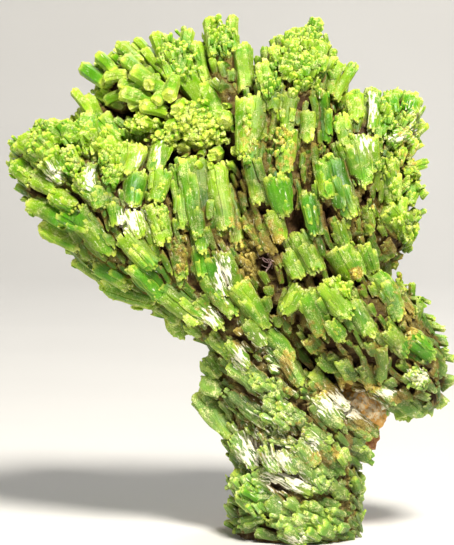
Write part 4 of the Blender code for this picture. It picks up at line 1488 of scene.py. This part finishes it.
def new_group(name, inputs, outputs):
    """An empty shader group with named sockets, its wiring, and its two ends."""
    tree = bpy.data.node_groups.new(name, "ShaderNodeTree")
    for socket, kind in inputs:
        tree.interface.new_socket(socket, in_out="INPUT", socket_type=kind)
    for socket, kind in outputs:
        tree.interface.new_socket(socket, in_out="OUTPUT", socket_type=kind)
    wiring = Wiring(tree)
    return tree, wiring, wiring.add("NodeGroupInput").outputs, wiring.add("NodeGroupOutput")


def striae_group():
    """Fine lines along a crystal: their height, and the broader streaks of tone."""
    if "striae" in bpy.data.node_groups:
        return bpy.data.node_groups["striae"]
    tree, wiring, given, result = new_group(
        "striae",
        [("Grain", "NodeSocketVector"), ("Stretch", "NodeSocketFloat")],
        [("Lines", "NodeSocketFloat"), ("Streaks", "NodeSocketFloat")],
    )
    parts = wiring.parts(given["Grain"])
    along = wiring.maths("DIVIDE", parts[2], given["Stretch"])
    stretched = wiring.add("ShaderNodeCombineXYZ", {0: parts[0], 1: parts[1], 2: along})
    for name, scale, detail in (("Lines", 9.0, 2.0), ("Streaks", 2.2, 3.0)):
        grain = wiring.noise(stretched.outputs[0], scale, detail)
        tree.links.new(grain, result.inputs[name])
    return tree


def ragged_cover_group():
    """A mask whose soft edge is broken up by noise, for stains, crusts and clean patches."""
    if "ragged_cover" in bpy.data.node_groups:
        return bpy.data.node_groups["ragged_cover"]
    tree, wiring, given, result = new_group(
        "ragged_cover",
        [
            ("Place", "NodeSocketVector"),
            ("Amount", "NodeSocketFloat"),
            ("Scale", "NodeSocketFloat"),
            ("Breakup", "NodeSocketFloat"),
        ],
        [("Cover", "NodeSocketFloat")],
    )
    grain = wiring.noise(given["Place"], given["Scale"], 4.0, 0.6)
    swing = wiring.maths("MULTIPLY", wiring.maths("SUBTRACT", grain, 0.5), given["Breakup"])
    broken = wiring.maths("ADD", given["Amount"], swing)
    tree.links.new(wiring.ramp(broken, 0.35, 0.65), result.inputs["Cover"])
    return tree


# How high the relief of a bump is, in metres
BUMP_DISTANCE = 5e-5


def finish_material(wiring, colour, roughness, height, strength, settings):
    """The Principled shader of a material, with its bump and uniform values."""
    relief = {"Height": height, "Strength": strength, "Distance": BUMP_DISTANCE}
    bump = wiring.add("ShaderNodeBump", relief)
    inputs = {"Base Color": colour, "Roughness": roughness, "Normal": bump.outputs[0], **settings}
    shader = wiring.add("ShaderNodeBsdfPrincipled", inputs)
    wiring.add("ShaderNodeOutputMaterial", {"Surface": shader.outputs[0]})


def new_material(name):
    """A material and its wiring."""
    made = bpy.data.materials.new(name)
    made.use_nodes = True
    return made, Wiring(made.node_tree)


# How much longer striae are than they are wide, and how flat streaks of crust are along a crystal
STRIAE_STRETCH = 9.0
STREAK_STRETCH = 0.22
# The reach over which painted shade lifts and crystals get lighter, from the least; over which
# stains set in; and over which all gets dark, in a brown that is partly stain and partly painted
# shade
SHADE_START = 0.98
SHADE_END = 1.18
SHADE_LEAST = 0.38
LOW_START = 1.04
LOW_END = 0.95
DEEP_START = 0.97
DEEP_END = 0.88
# Painted shade away from the ends: how far from its end a crystal gets darker, and how dark it gets
END_SHADE_START = 0.3
END_SHADE_END = 2.0
END_SHADE_LEAST = 0.7
# The heights, in millimetres, between which the stem's colour sets in
STEM_COLOUR_TOP = 27.0
STEM_COLOUR_END = 13.0


def crystal_material():
    """Pyromorphite: striated green with yellow-green ends, stained and crusted in places; painted
    shade in gaps and away from the ends, and painted highlight in some crust streaks.
    """
    name = "pyromorphite_crystal"
    if name in bpy.data.materials:
        return bpy.data.materials[name]
    made, wiring = new_material(name)
    colours = bpy.context.scene.specimen_colours
    place = wiring.place()
    grain = wiring.attribute("grain")["Vector"]
    striae = wiring.group(striae_group(), {"Grain": grain, "Stretch": STRIAE_STRETCH})
    flattened = {0: grain, 1: (1.0, 1.0, STREAK_STRETCH)}
    along_grain = wiring.add("ShaderNodeVectorMath", flattened, operation="MULTIPLY").outputs[0]
    tint = wiring.attribute("tint")["Fac"]
    foot, head, side = wiring.parts(wiring.attribute("ends")["Vector"])
    rust_area, crust_area, fresh_area = wiring.parts(wiring.attribute("areas")["Vector"])
    depth = wiring.attribute("reach")["Fac"]
    height = wiring.parts(place)[2]
    patches = wiring.noise(place, 0.3, 3.0)
    blotches = wiring.noise(place, 1.4, 4.0, 0.65)
    grit = wiring.noise(place, 8.5, 3.0, 0.6)

    def scaled(value, share):
        return wiring.maths("MULTIPLY", value, share)

    def off_middle(value, share):
        return scaled(wiring.maths("SUBTRACT", value, 0.5), share)

    def total(*values):
        result = values[0]
        for value in values[1:]:
            result = wiring.maths("ADD", result, value)
        return result

    # The ground colour, greyer low down, paler where worn and clean in places
    colour = wiring.mix(wiring.ramp(patches, 0.4, 0.62), colours.body, colours.green)
    low_down = wiring.ramp(height, STEM_COLOUR_TOP, STEM_COLOUR_END)
    stem_share = scaled(low_down, wiring.ramp(patches, 0.6, 0.4, 0.45, 1.0))
    colour = wiring.mix(stem_share, colour, colours.stem)
    worn = total(scaled(striae["Streaks"], 0.55), scaled(blotches, 0.45), scaled(tint, 0.08))
    colour = wiring.mix(wiring.ramp(worn, 0.42, 0.7, 0.0, 0.6), colour, colours.pale)
    fresh = wiring.cover(place, fresh_area, 0.5, 0.5)
    colour = wiring.mix(scaled(fresh, 0.8), colour, colours.fresh)

    # Rims at the ends and along the flanks
    from_end = wiring.maths("MINIMUM", head, wiring.maths("ADD", foot, 0.1))
    near_end = total(from_end, off_middle(blotches, 1.1), off_middle(striae["Streaks"], 0.6))
    near_flank = total(side, off_middle(blotches, 0.5))
    flank = wiring.ramp(near_flank, 0.22, 0.0, 0.0, 0.3)
    rim = wiring.maths("MAXIMUM", wiring.ramp(near_end, 0.65, 0.0, 0.0, 0.8), flank)
    rim = scaled(rim, wiring.ramp(stem_share, 0.0, 1.0, 1.0, 0.4))
    colour = wiring.mix(rim, colour, colours.rim)

    # Dust and pits
    dusty = total(scaled(grit, 0.5), scaled(blotches, 0.55), scaled(rim, 0.035))
    dust = wiring.ramp(dusty, 0.54, 0.64)
    dusting = scaled(dust, wiring.ramp(fresh, 0.0, 1.0, 0.52, 0.12))
    dusting = scaled(dusting, wiring.ramp(stem_share, 0.0, 1.0, 1.0, 1.7))
    colour = wiring.mix(dusting, colour, colours.dust)
    pits = wiring.ramp(grit, 0.43, 0.32)
    colour = wiring.mix(scaled(pits, 0.45), colour, colours.deep)

    # Iron stain
    low = wiring.ramp(depth, LOW_START, LOW_END)
    stained = wiring.maths("MAXIMUM", rust_area, scaled(low, 0.75))
    rust = wiring.cover(place, stained, 1.5, 1.8)
    granular = total(scaled(grit, 0.6), scaled(blotches, 0.4))
    earth = wiring.mix(wiring.ramp(granular, 0.4, 0.54), colours.rust, colours.ochre)
    earth = wiring.mix(wiring.ramp(granular, 0.55, 0.62), earth, colours.dust)
    colour = wiring.mix(scaled(rust, 0.6), colour, earth)

    # Painted shade: darker in the gaps and away from the ends, times each crystal's own random tone
    gap_shade = wiring.ramp(depth, SHADE_START, SHADE_END, SHADE_LEAST, 1.0)
    tone_and_shade = wiring.maths("MULTIPLY", total(scaled(tint, 0.15), 1.0), gap_shade)
    end_shade = wiring.ramp(from_end, END_SHADE_START, END_SHADE_END, 1.0, END_SHADE_LEAST)
    tone_and_shade = wiring.maths("MULTIPLY", tone_and_shade, end_shade)
    grey = wiring.add("ShaderNodeCombineColor", {0: tone_and_shade, 1: tone_and_shade, 2: tone_and_shade})
    colour = wiring.mix(1.0, colour, grey.outputs[0], "MULTIPLY")

    # Streaks of white crust, partly painted highlight, laid over the painted shade; and the dark of
    # the deepest gaps, partly brown stain and partly painted shade
    crust = wiring.cover(along_grain, scaled(crust_area, 0.6), 4.0, 2.5)
    colour = wiring.mix(scaled(crust, 0.9), colour, colours.crust)
    deepest_stain_and_shade = wiring.ramp(depth, DEEP_START, DEEP_END)
    colour = wiring.mix(scaled(deepest_stain_and_shade, 0.92), colour, colours.deep)

    # Dull where stained or dusty, glossier on crust
    dull = wiring.maths("MAXIMUM", rust, dust)
    gritty = wiring.ramp(grit, 0.3, 0.7, -0.08, 0.1)
    roughness = total(wiring.ramp(dull, 0.0, 1.0, 0.36, 0.7), gritty)
    roughness = wiring.maths("SUBTRACT", roughness, scaled(crust, 0.12))
    relief = total(scaled(striae["Lines"], 0.8), grit, scaled(dust, 0.4))
    relief = scaled(relief, wiring.ramp(fresh, 0.0, 1.0, 1.0, 0.4))
    settings = {
        "IOR": 1.34,
        "Subsurface Weight": 0.12,
        "Subsurface Radius": (0.8, 1.0, 0.25),
        "Subsurface Scale": 0.0005,
    }
    finish_material(wiring, colour, roughness, relief, 0.7, settings)
    return made


def rock_material():
    """Iron-stained matrix: umber rock with rust, ochre and pale grains."""
    made, wiring = new_material("iron_stained_rock_surface")
    colours = bpy.context.scene.specimen_colours
    place = wiring.place()
    broad = wiring.noise(place, 0.35, 5.0, 0.6)
    fine = wiring.noise(place, 3.2, 5.0, 0.65)
    colour = wiring.mix(wiring.ramp(broad, 0.35, 0.65), colours.umber, colours.rust)
    rust_area, crust_area, _ = wiring.parts(wiring.attribute("areas")["Vector"])
    # Ochre where the rust areas are, partly ochre stain and partly painted light that lifts the
    # rock where the crystals overhang it
    light = wiring.maths("ADD", fine, wiring.maths("MULTIPLY", rust_area, 0.45))
    colour = wiring.mix(wiring.ramp(light, 0.48, 0.68), colour, colours.ochre)
    amount = wiring.maths("MAXIMUM", wiring.maths("MULTIPLY", crust_area, 0.5), 0.12)
    grains = wiring.maths("MULTIPLY", wiring.cover(place, amount, 2.4, 2.0), 0.6)
    colour = wiring.mix(grains, colour, colours.crust)
    roughness = wiring.ramp(fine, 0.3, 0.7, 0.7, 0.95)
    finish_material(wiring, colour, roughness, fine, 0.8, {"IOR": 1.5})
    return made


def lint_material():
    """Pale threads, dusty in places."""
    made, wiring = new_material("lint_thread")
    tone = wiring.noise(wiring.place(), 2.5)
    colours = bpy.context.scene.specimen_colours
    colour = wiring.mix(wiring.ramp(tone, 0.45, 0.9), colours.lint, colours.crust)
    finish_material(wiring, colour, 0.9, tone, 0.1, {"IOR": 1.5})
    return made


def floor_material():
    """Plain pale paper with the slightest unevenness."""
    made, wiring = new_material("pale_floor")
    floor = bpy.context.scene.specimen_studio.floor_colour
    tone = wiring.ramp(wiring.noise(wiring.place(), 0.02), 0.2, 0.8)
    colour = wiring.mix(tone, floor, [0.97 * part for part in floor])
    finish_material(wiring, colour, 0.8, tone, 0.0, {"IOR": 1.3})
    return made


# Massive growth: its share of the limbs' width and the sides of its lofts
MASSIVE_SHARE = 0.935
MASSIVE_SIDES = 24
# Relief of the massive growth and the matrix, as (scale, height)
MASSIVE_RELIEF = ((2.2, 0.5), (0.9, 0.4), (0.4, 0.22))
ROCK_RELIEF = ((2.6, 0.7), (0.9, 0.35), (0.4, 0.15))


class SPECIMEN_OT_massive_growth(bpy.types.Operator):
    """Makes the massive growth that all the crystals stand on"""

    bl_idname = "specimen.massive_growth"
    bl_label = "Massive growth"

    def execute(self, context):
        bm = bmesh.new()
        for knots in LIMBS.values():
            loft_limb(bm, knots, MASSIVE_SHARE, MASSIVE_SIDES)
        mesh = remeshed("massive_growth", bm, context.scene.specimen_sizes.body_voxel)
        sink_hollows(mesh)
        roughen(mesh, MASSIVE_RELIEF)
        set_massive_values(mesh)
        add_crystal_piece("massive_growth", mesh)
        return {"FINISHED"}


# How many ribs a free prism has, two to a side
FREE_RIB_COUNT = 12


class SPECIMEN_OT_face_crystals(bpy.types.Operator):
    """Makes the crystals of the display face, one piece for each limb"""

    bl_idname = "specimen.face_crystals"
    bl_label = "Display face crystals"

    def execute(self, context):
        seed = context.scene.specimen_studio.seed
        for number, (group, name) in enumerate(GROUP_PIECES.items()):
            rng = np.random.default_rng(seed + number)
            picks = random.Random(seed + number)
            crystals = face_crystals(group)
            if group in FREE_GROUPS:
                growths = [blades(crystals, hexagon_ribs(FREE_RIB_COUNT), FREE_HABIT, rng)]
            else:
                growths = blades_by_size(crystals + laths(crystals, picks), BLADE_HABIT, rng)
                growths.append(prisms(teeth(crystals, picks), rng))
            add_crystal_piece(name, growth_mesh(name, growths))
        return {"FINISHED"}


class SPECIMEN_OT_side_crystals(bpy.types.Operator):
    """Makes the crystals of the sides and the back"""

    bl_idname = "specimen.side_crystals"
    bl_label = "Side and back crystals"

    def execute(self, context):
        rng = np.random.default_rng(SEED)
        picks = random.Random(SEED)
        crystals = rule_crystals()
        growths = blades_by_size(crystals + laths(crystals, picks), SIDE_HABIT, rng)
        growths.append(prisms(teeth(crystals, picks), rng))
        add_crystal_piece("side_crystals", growth_mesh("side_crystals", growths))
        return {"FINISHED"}


# Small crystals that fill the gaps: their sizes and tilt, how much of one is foot, how far it is
# sunk and leans out, how far its head may pass the outline before it is pushed in, and how much
# further before it is left out
GAP_TRIES = 80000
GAP_RIB_COUNT = 6
GAP_LENGTH = (1.4, 3.0)
GAP_WIDTH = (0.55, 1.2)
GAP_SPLAY = 0.12
GAP_FOOT_SHARE = 0.45
GAP_SINK = 0.25
GAP_RISE = (-0.1, 0.35)
GAP_OUTLINE_SLACK = 0.8
GAP_OUTLINE_SPARE = 0.25
BACK_GAP_SIZE = 1.25


class SPECIMEN_OT_gap_crystals(bpy.types.Operator):
    """Fills the gaps between the large crystals with small ones that run the same way"""

    bl_idname = "specimen.gap_crystals"
    bl_label = "Gap crystals"

    def execute(self, context):
        sizes = context.scene.specimen_sizes
        rng = np.random.default_rng(context.scene.specimen_studio.seed)
        for name, spacing in zip(GAP_PIECES, (sizes.gap_spacing, sizes.back_gap_spacing)):
            behind = name != GAP_PIECES[0]
            points, outs = spread_points(GAP_TRIES, spacing / MM, rng)
            clear = (points[:, 2] > 0) & (area_mask(points, HOLLOWS) < HOLLOW_CLEAR)
            clear &= (outs[:, 1] > FRONT_FACING) == behind
            points, outs = points[clear], outs[clear]
            ways = unit(growth_flow(points, outs) + rng.normal(0, GAP_SPLAY, points.shape))
            size = BACK_GAP_SIZE if behind else 1.0
            fillers = []
            for point, out, way in zip(points, outs, ways):
                if in_matrix(point):
                    continue
                length = size * rng.uniform(*GAP_LENGTH)
                foot = point - GAP_FOOT_SHARE * length * way - GAP_SINK * out
                head = foot + length * way + rng.uniform(*GAP_RISE) * out
                pushed = max(outline_gap(head) - GAP_OUTLINE_SLACK, 0.0) * way
                foot, head = foot - pushed, head - pushed
                if outline_gap(head) > GAP_OUTLINE_SLACK + GAP_OUTLINE_SPARE:
                    continue
                fillers.append((foot, head, out, size * rng.uniform(*GAP_WIDTH)))
            growths = [blades(fillers, section_ribs(GAP_RIB_COUNT), GAP_HABIT, rng)]
            add_crystal_piece(name, growth_mesh(name, growths))
        return {"FINISHED"}


# Druse in front: where its rays start, and how far its bunches spread over their area
DRUSE_START = 60.0
DRUSE_SPREAD = 0.5
# Druse behind: how close its bunches are, where its rays start, its patches' size, the noise
# that makes one, the height at which it starts, and how far end-on a tip is that always has it
BACK_DRUSE_TRIES = 40000
BACK_DRUSE_SPACING = 1.5
BACK_DRUSE_START = 6.0
BACK_DRUSE_WIDTH = (0.3, 0.55)
BACK_DRUSE_PATCH = 6.0
BACK_DRUSE_LEAST = 0.05
BACK_DRUSE_BASE = 0.5
DRUSE_END_ON = 0.72
# Bunches of prisms: how far they stand up and tilt, their tone, how many prisms each has, and
# the prisms' tilt. Sizes and places are shares of the usual width.
BUNCH_LIFT = 0.4
BUNCH_TILT = 0.2
DRUSE_TONE = 0.35
BUNCH_CRYSTALS = (3, 7)
BUNCH_SPLAY = 0.17
BUNCH_SIZE = (0.5, 1.6)
BUNCH_LENGTH = (1.4, 2.5)
BUNCH_SPREAD = 0.48
BUNCH_SINK = 1.2


class SPECIMEN_OT_druse(bpy.types.Operator):
    """Sows tiny prisms on rims, in hollows and in patches of the sides and the back"""

    bl_idname = "specimen.druse"
    bl_label = "Druse"

    def execute(self, context):
        seed = context.scene.specimen_studio.seed
        rng = np.random.default_rng(seed + 1)
        scale = context.scene.specimen_sizes.druse_scale
        tree = surface_tree()
        hits = []
        for u, v, wide, tall, count, width in DRUSE_AREAS:
            for _ in range(count):
                spot = rng.normal(0, DRUSE_SPREAD, 2)
                start = plate(u + wide * spot[0], v + tall * spot[1], -DRUSE_START)
                hits.append((*tree.ray_cast(Vector(start), Vector((0, 1, 0)))[:2], width))
        points, outs = spread_points(BACK_DRUSE_TRIES, BACK_DRUSE_SPACING, rng)
        end_on = (growth_flow(points, outs) * outs).sum(1) > DRUSE_END_ON
        for point, out, at_tip in zip(points, outs, end_on):
            patch = noise.noise(Vector(point / BACK_DRUSE_PATCH))
            if out[1] < FRONT_FACING or point[2] < BACK_DRUSE_BASE or in_matrix(point):
                continue
            if patch < BACK_DRUSE_LEAST and not at_tip:
                continue
            found = tree.ray_cast(Vector(point + BACK_DRUSE_START * out), Vector(-out))[:2]
            hits.append((*found, rng.uniform(*BACK_DRUSE_WIDTH)))
        hits = [hit for hit in hits if hit[0] is not None]
        spots, normals = (np.array([tuple(hit[i]) for hit in hits]) for i in (0, 1))
        ways = growth_flow(spots, normals)
        open_spots = area_mask(spots, HOLLOWS) > HOLLOW_CLEAR
        columns = []
        for i, (spot, normal, way) in enumerate(zip(spots, normals, ways)):
            if open_spots[i]:
                continue
            usual = scale * hits[i][2]
            lead = unit(way + BUNCH_LIFT * normal + rng.normal(0, BUNCH_TILT, 3))
            tone = rng.normal(0, DRUSE_TONE)
            for _ in range(rng.integers(*BUNCH_CRYSTALS)):
                axis = unit(lead + rng.normal(0, BUNCH_SPLAY, 3))
                foot = spot + usual * (rng.normal(0, BUNCH_SPREAD, 3) - BUNCH_SINK * lead)
                size = usual * rng.uniform(*BUNCH_SIZE)
                head = foot + axis * usual * rng.uniform(*BUNCH_LENGTH)
                out = unit(np.cross(axis, rng.normal(0, 1, 3)))
                columns.append(Column(foot, head, out, size, tone))
        add_crystal_piece("druse", growth_mesh("druse", [prisms(columns, rng)]))
        return {"FINISHED"}


class SPECIMEN_OT_matrix_rock(bpy.types.Operator):
    """Makes the rust-stained rock behind and beside the stem"""

    bl_idname = "specimen.matrix_rock"
    bl_label = "Matrix rock"

    def execute(self, context):
        rng = random.Random(SEED)
        bm = bmesh.new()
        for u, v, y, wide, deep, tall in MATRIX_CHUNKS:
            corners = []
            for k in range(CHUNK_CORNERS):
                height = 1 - 2 * (k + 0.5) / CHUNK_CORNERS
                angle = k * math.pi * (3 - math.sqrt(5))
                flat = math.sqrt(1 - height**2)
                rough = 1 + rng.uniform(-CHUNK_ROUGHNESS, CHUNK_ROUGHNESS)
                across = rough * wide * flat * math.cos(angle)
                inward = rough * deep * flat * math.sin(angle)
                corner = plate(u + across, v + rough * tall * height, y + inward)
                corners.append(bm.verts.new(corner * MM))
            hull = bmesh.ops.convex_hull(bm, input=corners)
            bmesh.ops.delete(bm, geom=hull["geom_interior"], context="VERTS")
        mesh = remeshed("matrix_rock", bm, context.scene.specimen_sizes.rock_voxel)
        roughen(mesh, ROCK_RELIEF)
        set_area_values(mesh, mesh_points(mesh))
        add_piece("matrix_rock", mesh, rock_material(), "rusty_matrix")
        return {"FINISHED"}


# The tuft of lint in the cleft: its (u, v), how far it lies in, how many threads it has and how
# many points each has, its span and a thread's step, how they bend and turn back to its heart
LINT_PLACE = (27.0, 25.9)
LINT_DEPTH = 0.7
LINT_THREADS = 9
LINT_POINTS = 36
LINT_SPAN = 0.8
LINT_START = 0.2
LINT_STEP = 0.1
LINT_CURL = 0.34
LINT_BEND = 0.16
LINT_HOMING = 0.5
LINT_RADIUS = 0.026
THREAD_SIDES = 4
# A direction that no thread follows, to turn its sides by
THREAD_SIDEWAYS = (0.31, 0.52, 0.79)


def add_thread(bm, path, radius):
    """A closed tube along a path."""
    path = np.array(path)
    along = unit(np.gradient(path, axis=0))
    side = unit(np.cross(along, THREAD_SIDEWAYS))
    up = np.cross(along, side)
    rings = []
    for k in range(THREAD_SIDES):
        angle = 2 * math.pi * k / THREAD_SIDES
        corner = path + radius * (math.cos(angle) * side + math.sin(angle) * up)
        rings.append([bm.verts.new(spot * MM) for spot in corner])
    for k in range(THREAD_SIDES):
        edge, following = rings[k], rings[(k + 1) % THREAD_SIDES]
        for i in range(len(path) - 1):
            bm.faces.new((edge[i], following[i], following[i + 1], edge[i + 1]))
    bm.faces.new([ring[0] for ring in rings][::-1])
    bm.faces.new([ring[-1] for ring in rings])


class SPECIMEN_OT_lint(bpy.types.Operator):
    """Makes the small tuft of threads caught in the cleft"""

    bl_idname = "specimen.lint"
    bl_label = "Lint"

    def execute(self, context):
        rng = np.random.default_rng(context.scene.specimen_studio.seed)
        u, v = LINT_PLACE
        heart = plate(u, v, front_depth(u, v) + LINT_DEPTH)
        bm = bmesh.new()
        for _ in range(LINT_THREADS):
            spot = heart + rng.normal(0, LINT_START, 3)
            way = unit(rng.normal(0, 1, 3))
            turn = rng.normal(0, 1, 3)
            path = []
            for _ in range(LINT_POINTS):
                path.append(spot)
                turn = turn + rng.normal(0, LINT_CURL, 3)
                homeward = (heart - spot) / LINT_SPAN
                way = unit(way + LINT_BEND * turn + LINT_HOMING * homeward)
                spot = spot + way * LINT_STEP
            add_thread(bm, path, LINT_RADIUS)
        tuft = linked_object("lint_tuft", finished_mesh("lint_tuft", bm))
        tuft.data.materials.append(lint_material())
        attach(tuft, "root")
        return {"FINISHED"}


# Stage, in metres but for the picture's middle, which is on the layout plate. A light is given
# as its name, place, size, share of the key light's power and colour.
PICTURE_U = 22.7
PICTURE_V = 27.25
NEAREST_SEEN = 0.01
BACKDROP_WIDTH = 6.0
BACKDROP_FRONT = -0.9
BACKDROP_BACK = 0.35
BACKDROP_CURVE = 0.2
BACKDROP_TOP = 0.9
BACKDROP_STEPS = 12
FLOOR_DROP = 2e-5
LIGHTS = (
    ("key_light", (0.10, -0.34, 0.40), 0.13, 1.9, (1.0, 0.96, 0.88)),
    ("fill_light", (-0.42, -0.34, 0.16), 0.30, 0.2, (1.0, 0.97, 0.92)),
    ("back_light", (0.20, 0.34, 0.40), 0.25, 0.45, (1.0, 1.0, 1.0)),
)
WORLD_COLOUR = (1.0, 0.98, 0.95)
WORLD_STRENGTH = 0.05


def aimed_object(name, data, place, target):
    """An object for a camera or a light, turned to a target."""
    made = linked_object(name, data)
    made.location = place
    made.rotation_euler = (target - place).to_track_quat("-Z", "Y").to_euler()
    return made


def add_backdrop():
    """A floor that curves up into a wall behind the specimen."""
    profile = [(BACKDROP_FRONT, 0.0)]
    for k in range(BACKDROP_STEPS + 1):
        angle = 0.5 * math.pi * k / BACKDROP_STEPS
        y = BACKDROP_BACK + BACKDROP_CURVE * math.sin(angle)
        profile.append((y, BACKDROP_CURVE * (1 - math.cos(angle))))
    profile.append((BACKDROP_BACK + BACKDROP_CURVE, BACKDROP_TOP))
    bm = bmesh.new()
    rows = []
    for side in (-0.5, 0.5):
        x = side * BACKDROP_WIDTH
        rows.append([bm.verts.new((x, y, z - FLOOR_DROP)) for y, z in profile])
    for k in range(len(profile) - 1):
        bm.faces.new((rows[0][k], rows[1][k], rows[1][k + 1], rows[0][k + 1]))
    mesh = finished_mesh("backdrop", bm)
    mesh.shade_smooth()
    backdrop = linked_object("backdrop", mesh)
    mesh.materials.append(floor_material())


class SPECIMEN_OT_stage(bpy.types.Operator):
    """Sets up the floor and backdrop, the soft lights and the camera"""

    bl_idname = "specimen.stage"
    bl_label = "Stage"

    def execute(self, context):
        studio = context.scene.specimen_studio
        add_backdrop()
        target = Vector(plate(PICTURE_U, PICTURE_V) * MM)
        camera = bpy.data.cameras.new("photo_camera")
        camera.lens = studio.lens
        camera.clip_start = NEAREST_SEEN
        distance = studio.frame_height * studio.lens / camera.sensor_width
        back = Vector((0, -math.cos(studio.elevation), math.sin(studio.elevation)))
        holder = aimed_object("photo_camera", camera, target + back * distance, target)
        context.scene.camera = holder
        for name, place, size, share, colour in LIGHTS:
            light = bpy.data.lights.new(name, "AREA")
            light.shape = "DISK"
            light.size = size
            light.energy = studio.key_power * share
            light.color = colour
            aimed_object(name, light, Vector(place), target)
        world = context.scene.world or bpy.data.worlds.new("studio")
        context.scene.world = world
        world.use_nodes = True
        background = world.node_tree.nodes["Background"]
        background.inputs["Color"].default_value = (*WORLD_COLOUR, 1.0)
        background.inputs["Strength"].default_value = WORLD_STRENGTH
        context.scene.view_settings.view_transform = "Standard"
        return {"FINISHED"}


OPERATORS = (
    SPECIMEN_OT_stage,
    SPECIMEN_OT_massive_growth,
    SPECIMEN_OT_face_crystals,
    SPECIMEN_OT_side_crystals,
    SPECIMEN_OT_gap_crystals,
    SPECIMEN_OT_druse,
    SPECIMEN_OT_matrix_rock,
    SPECIMEN_OT_lint,
)


class SPECIMEN_PT_panel(bpy.types.Panel):
    """Lists the specimen's operators, sizes and colours"""

    bl_idname = "SPECIMEN_PT_panel"
    bl_label = "Pyromorphite specimen"
    bl_space_type = "VIEW_3D"
    bl_region_type = "UI"
    bl_category = "Specimen"

    def draw(self, context):
        scene = context.scene
        for operator in OPERATORS:
            self.layout.operator(operator.bl_idname)
        for settings in (scene.specimen_sizes, scene.specimen_colours, scene.specimen_studio):
            box = self.layout.box()
            for name in settings.__annotations__:
                box.prop(settings, name)


SETTINGS = {
    "specimen_sizes": SpecimenSizes,
    "specimen_colours": SpecimenColours,
    "specimen_studio": SpecimenStudio,
}


def register():
    for kind in (*SETTINGS.values(), *OPERATORS, SPECIMEN_PT_panel):
        bpy.utils.register_class(kind)
    for name, kind in SETTINGS.items():
        setattr(bpy.types.Scene, name, PointerProperty(type=kind))


def unregister():
    for name in SETTINGS:
        delattr(bpy.types.Scene, name)
    for kind in (SPECIMEN_PT_panel, *reversed(OPERATORS), *reversed(SETTINGS.values())):
        bpy.utils.unregister_class(kind)


def main():
    register()
    bpy.ops.specimen.stage()
    bpy.ops.specimen.massive_growth()
    bpy.ops.specimen.face_crystals()
    bpy.ops.specimen.side_crystals()
    bpy.ops.specimen.gap_crystals()
    bpy.ops.specimen.druse()
    bpy.ops.specimen.matrix_rock()
    bpy.ops.specimen.lint()


if __name__ == "__main__":
    main()
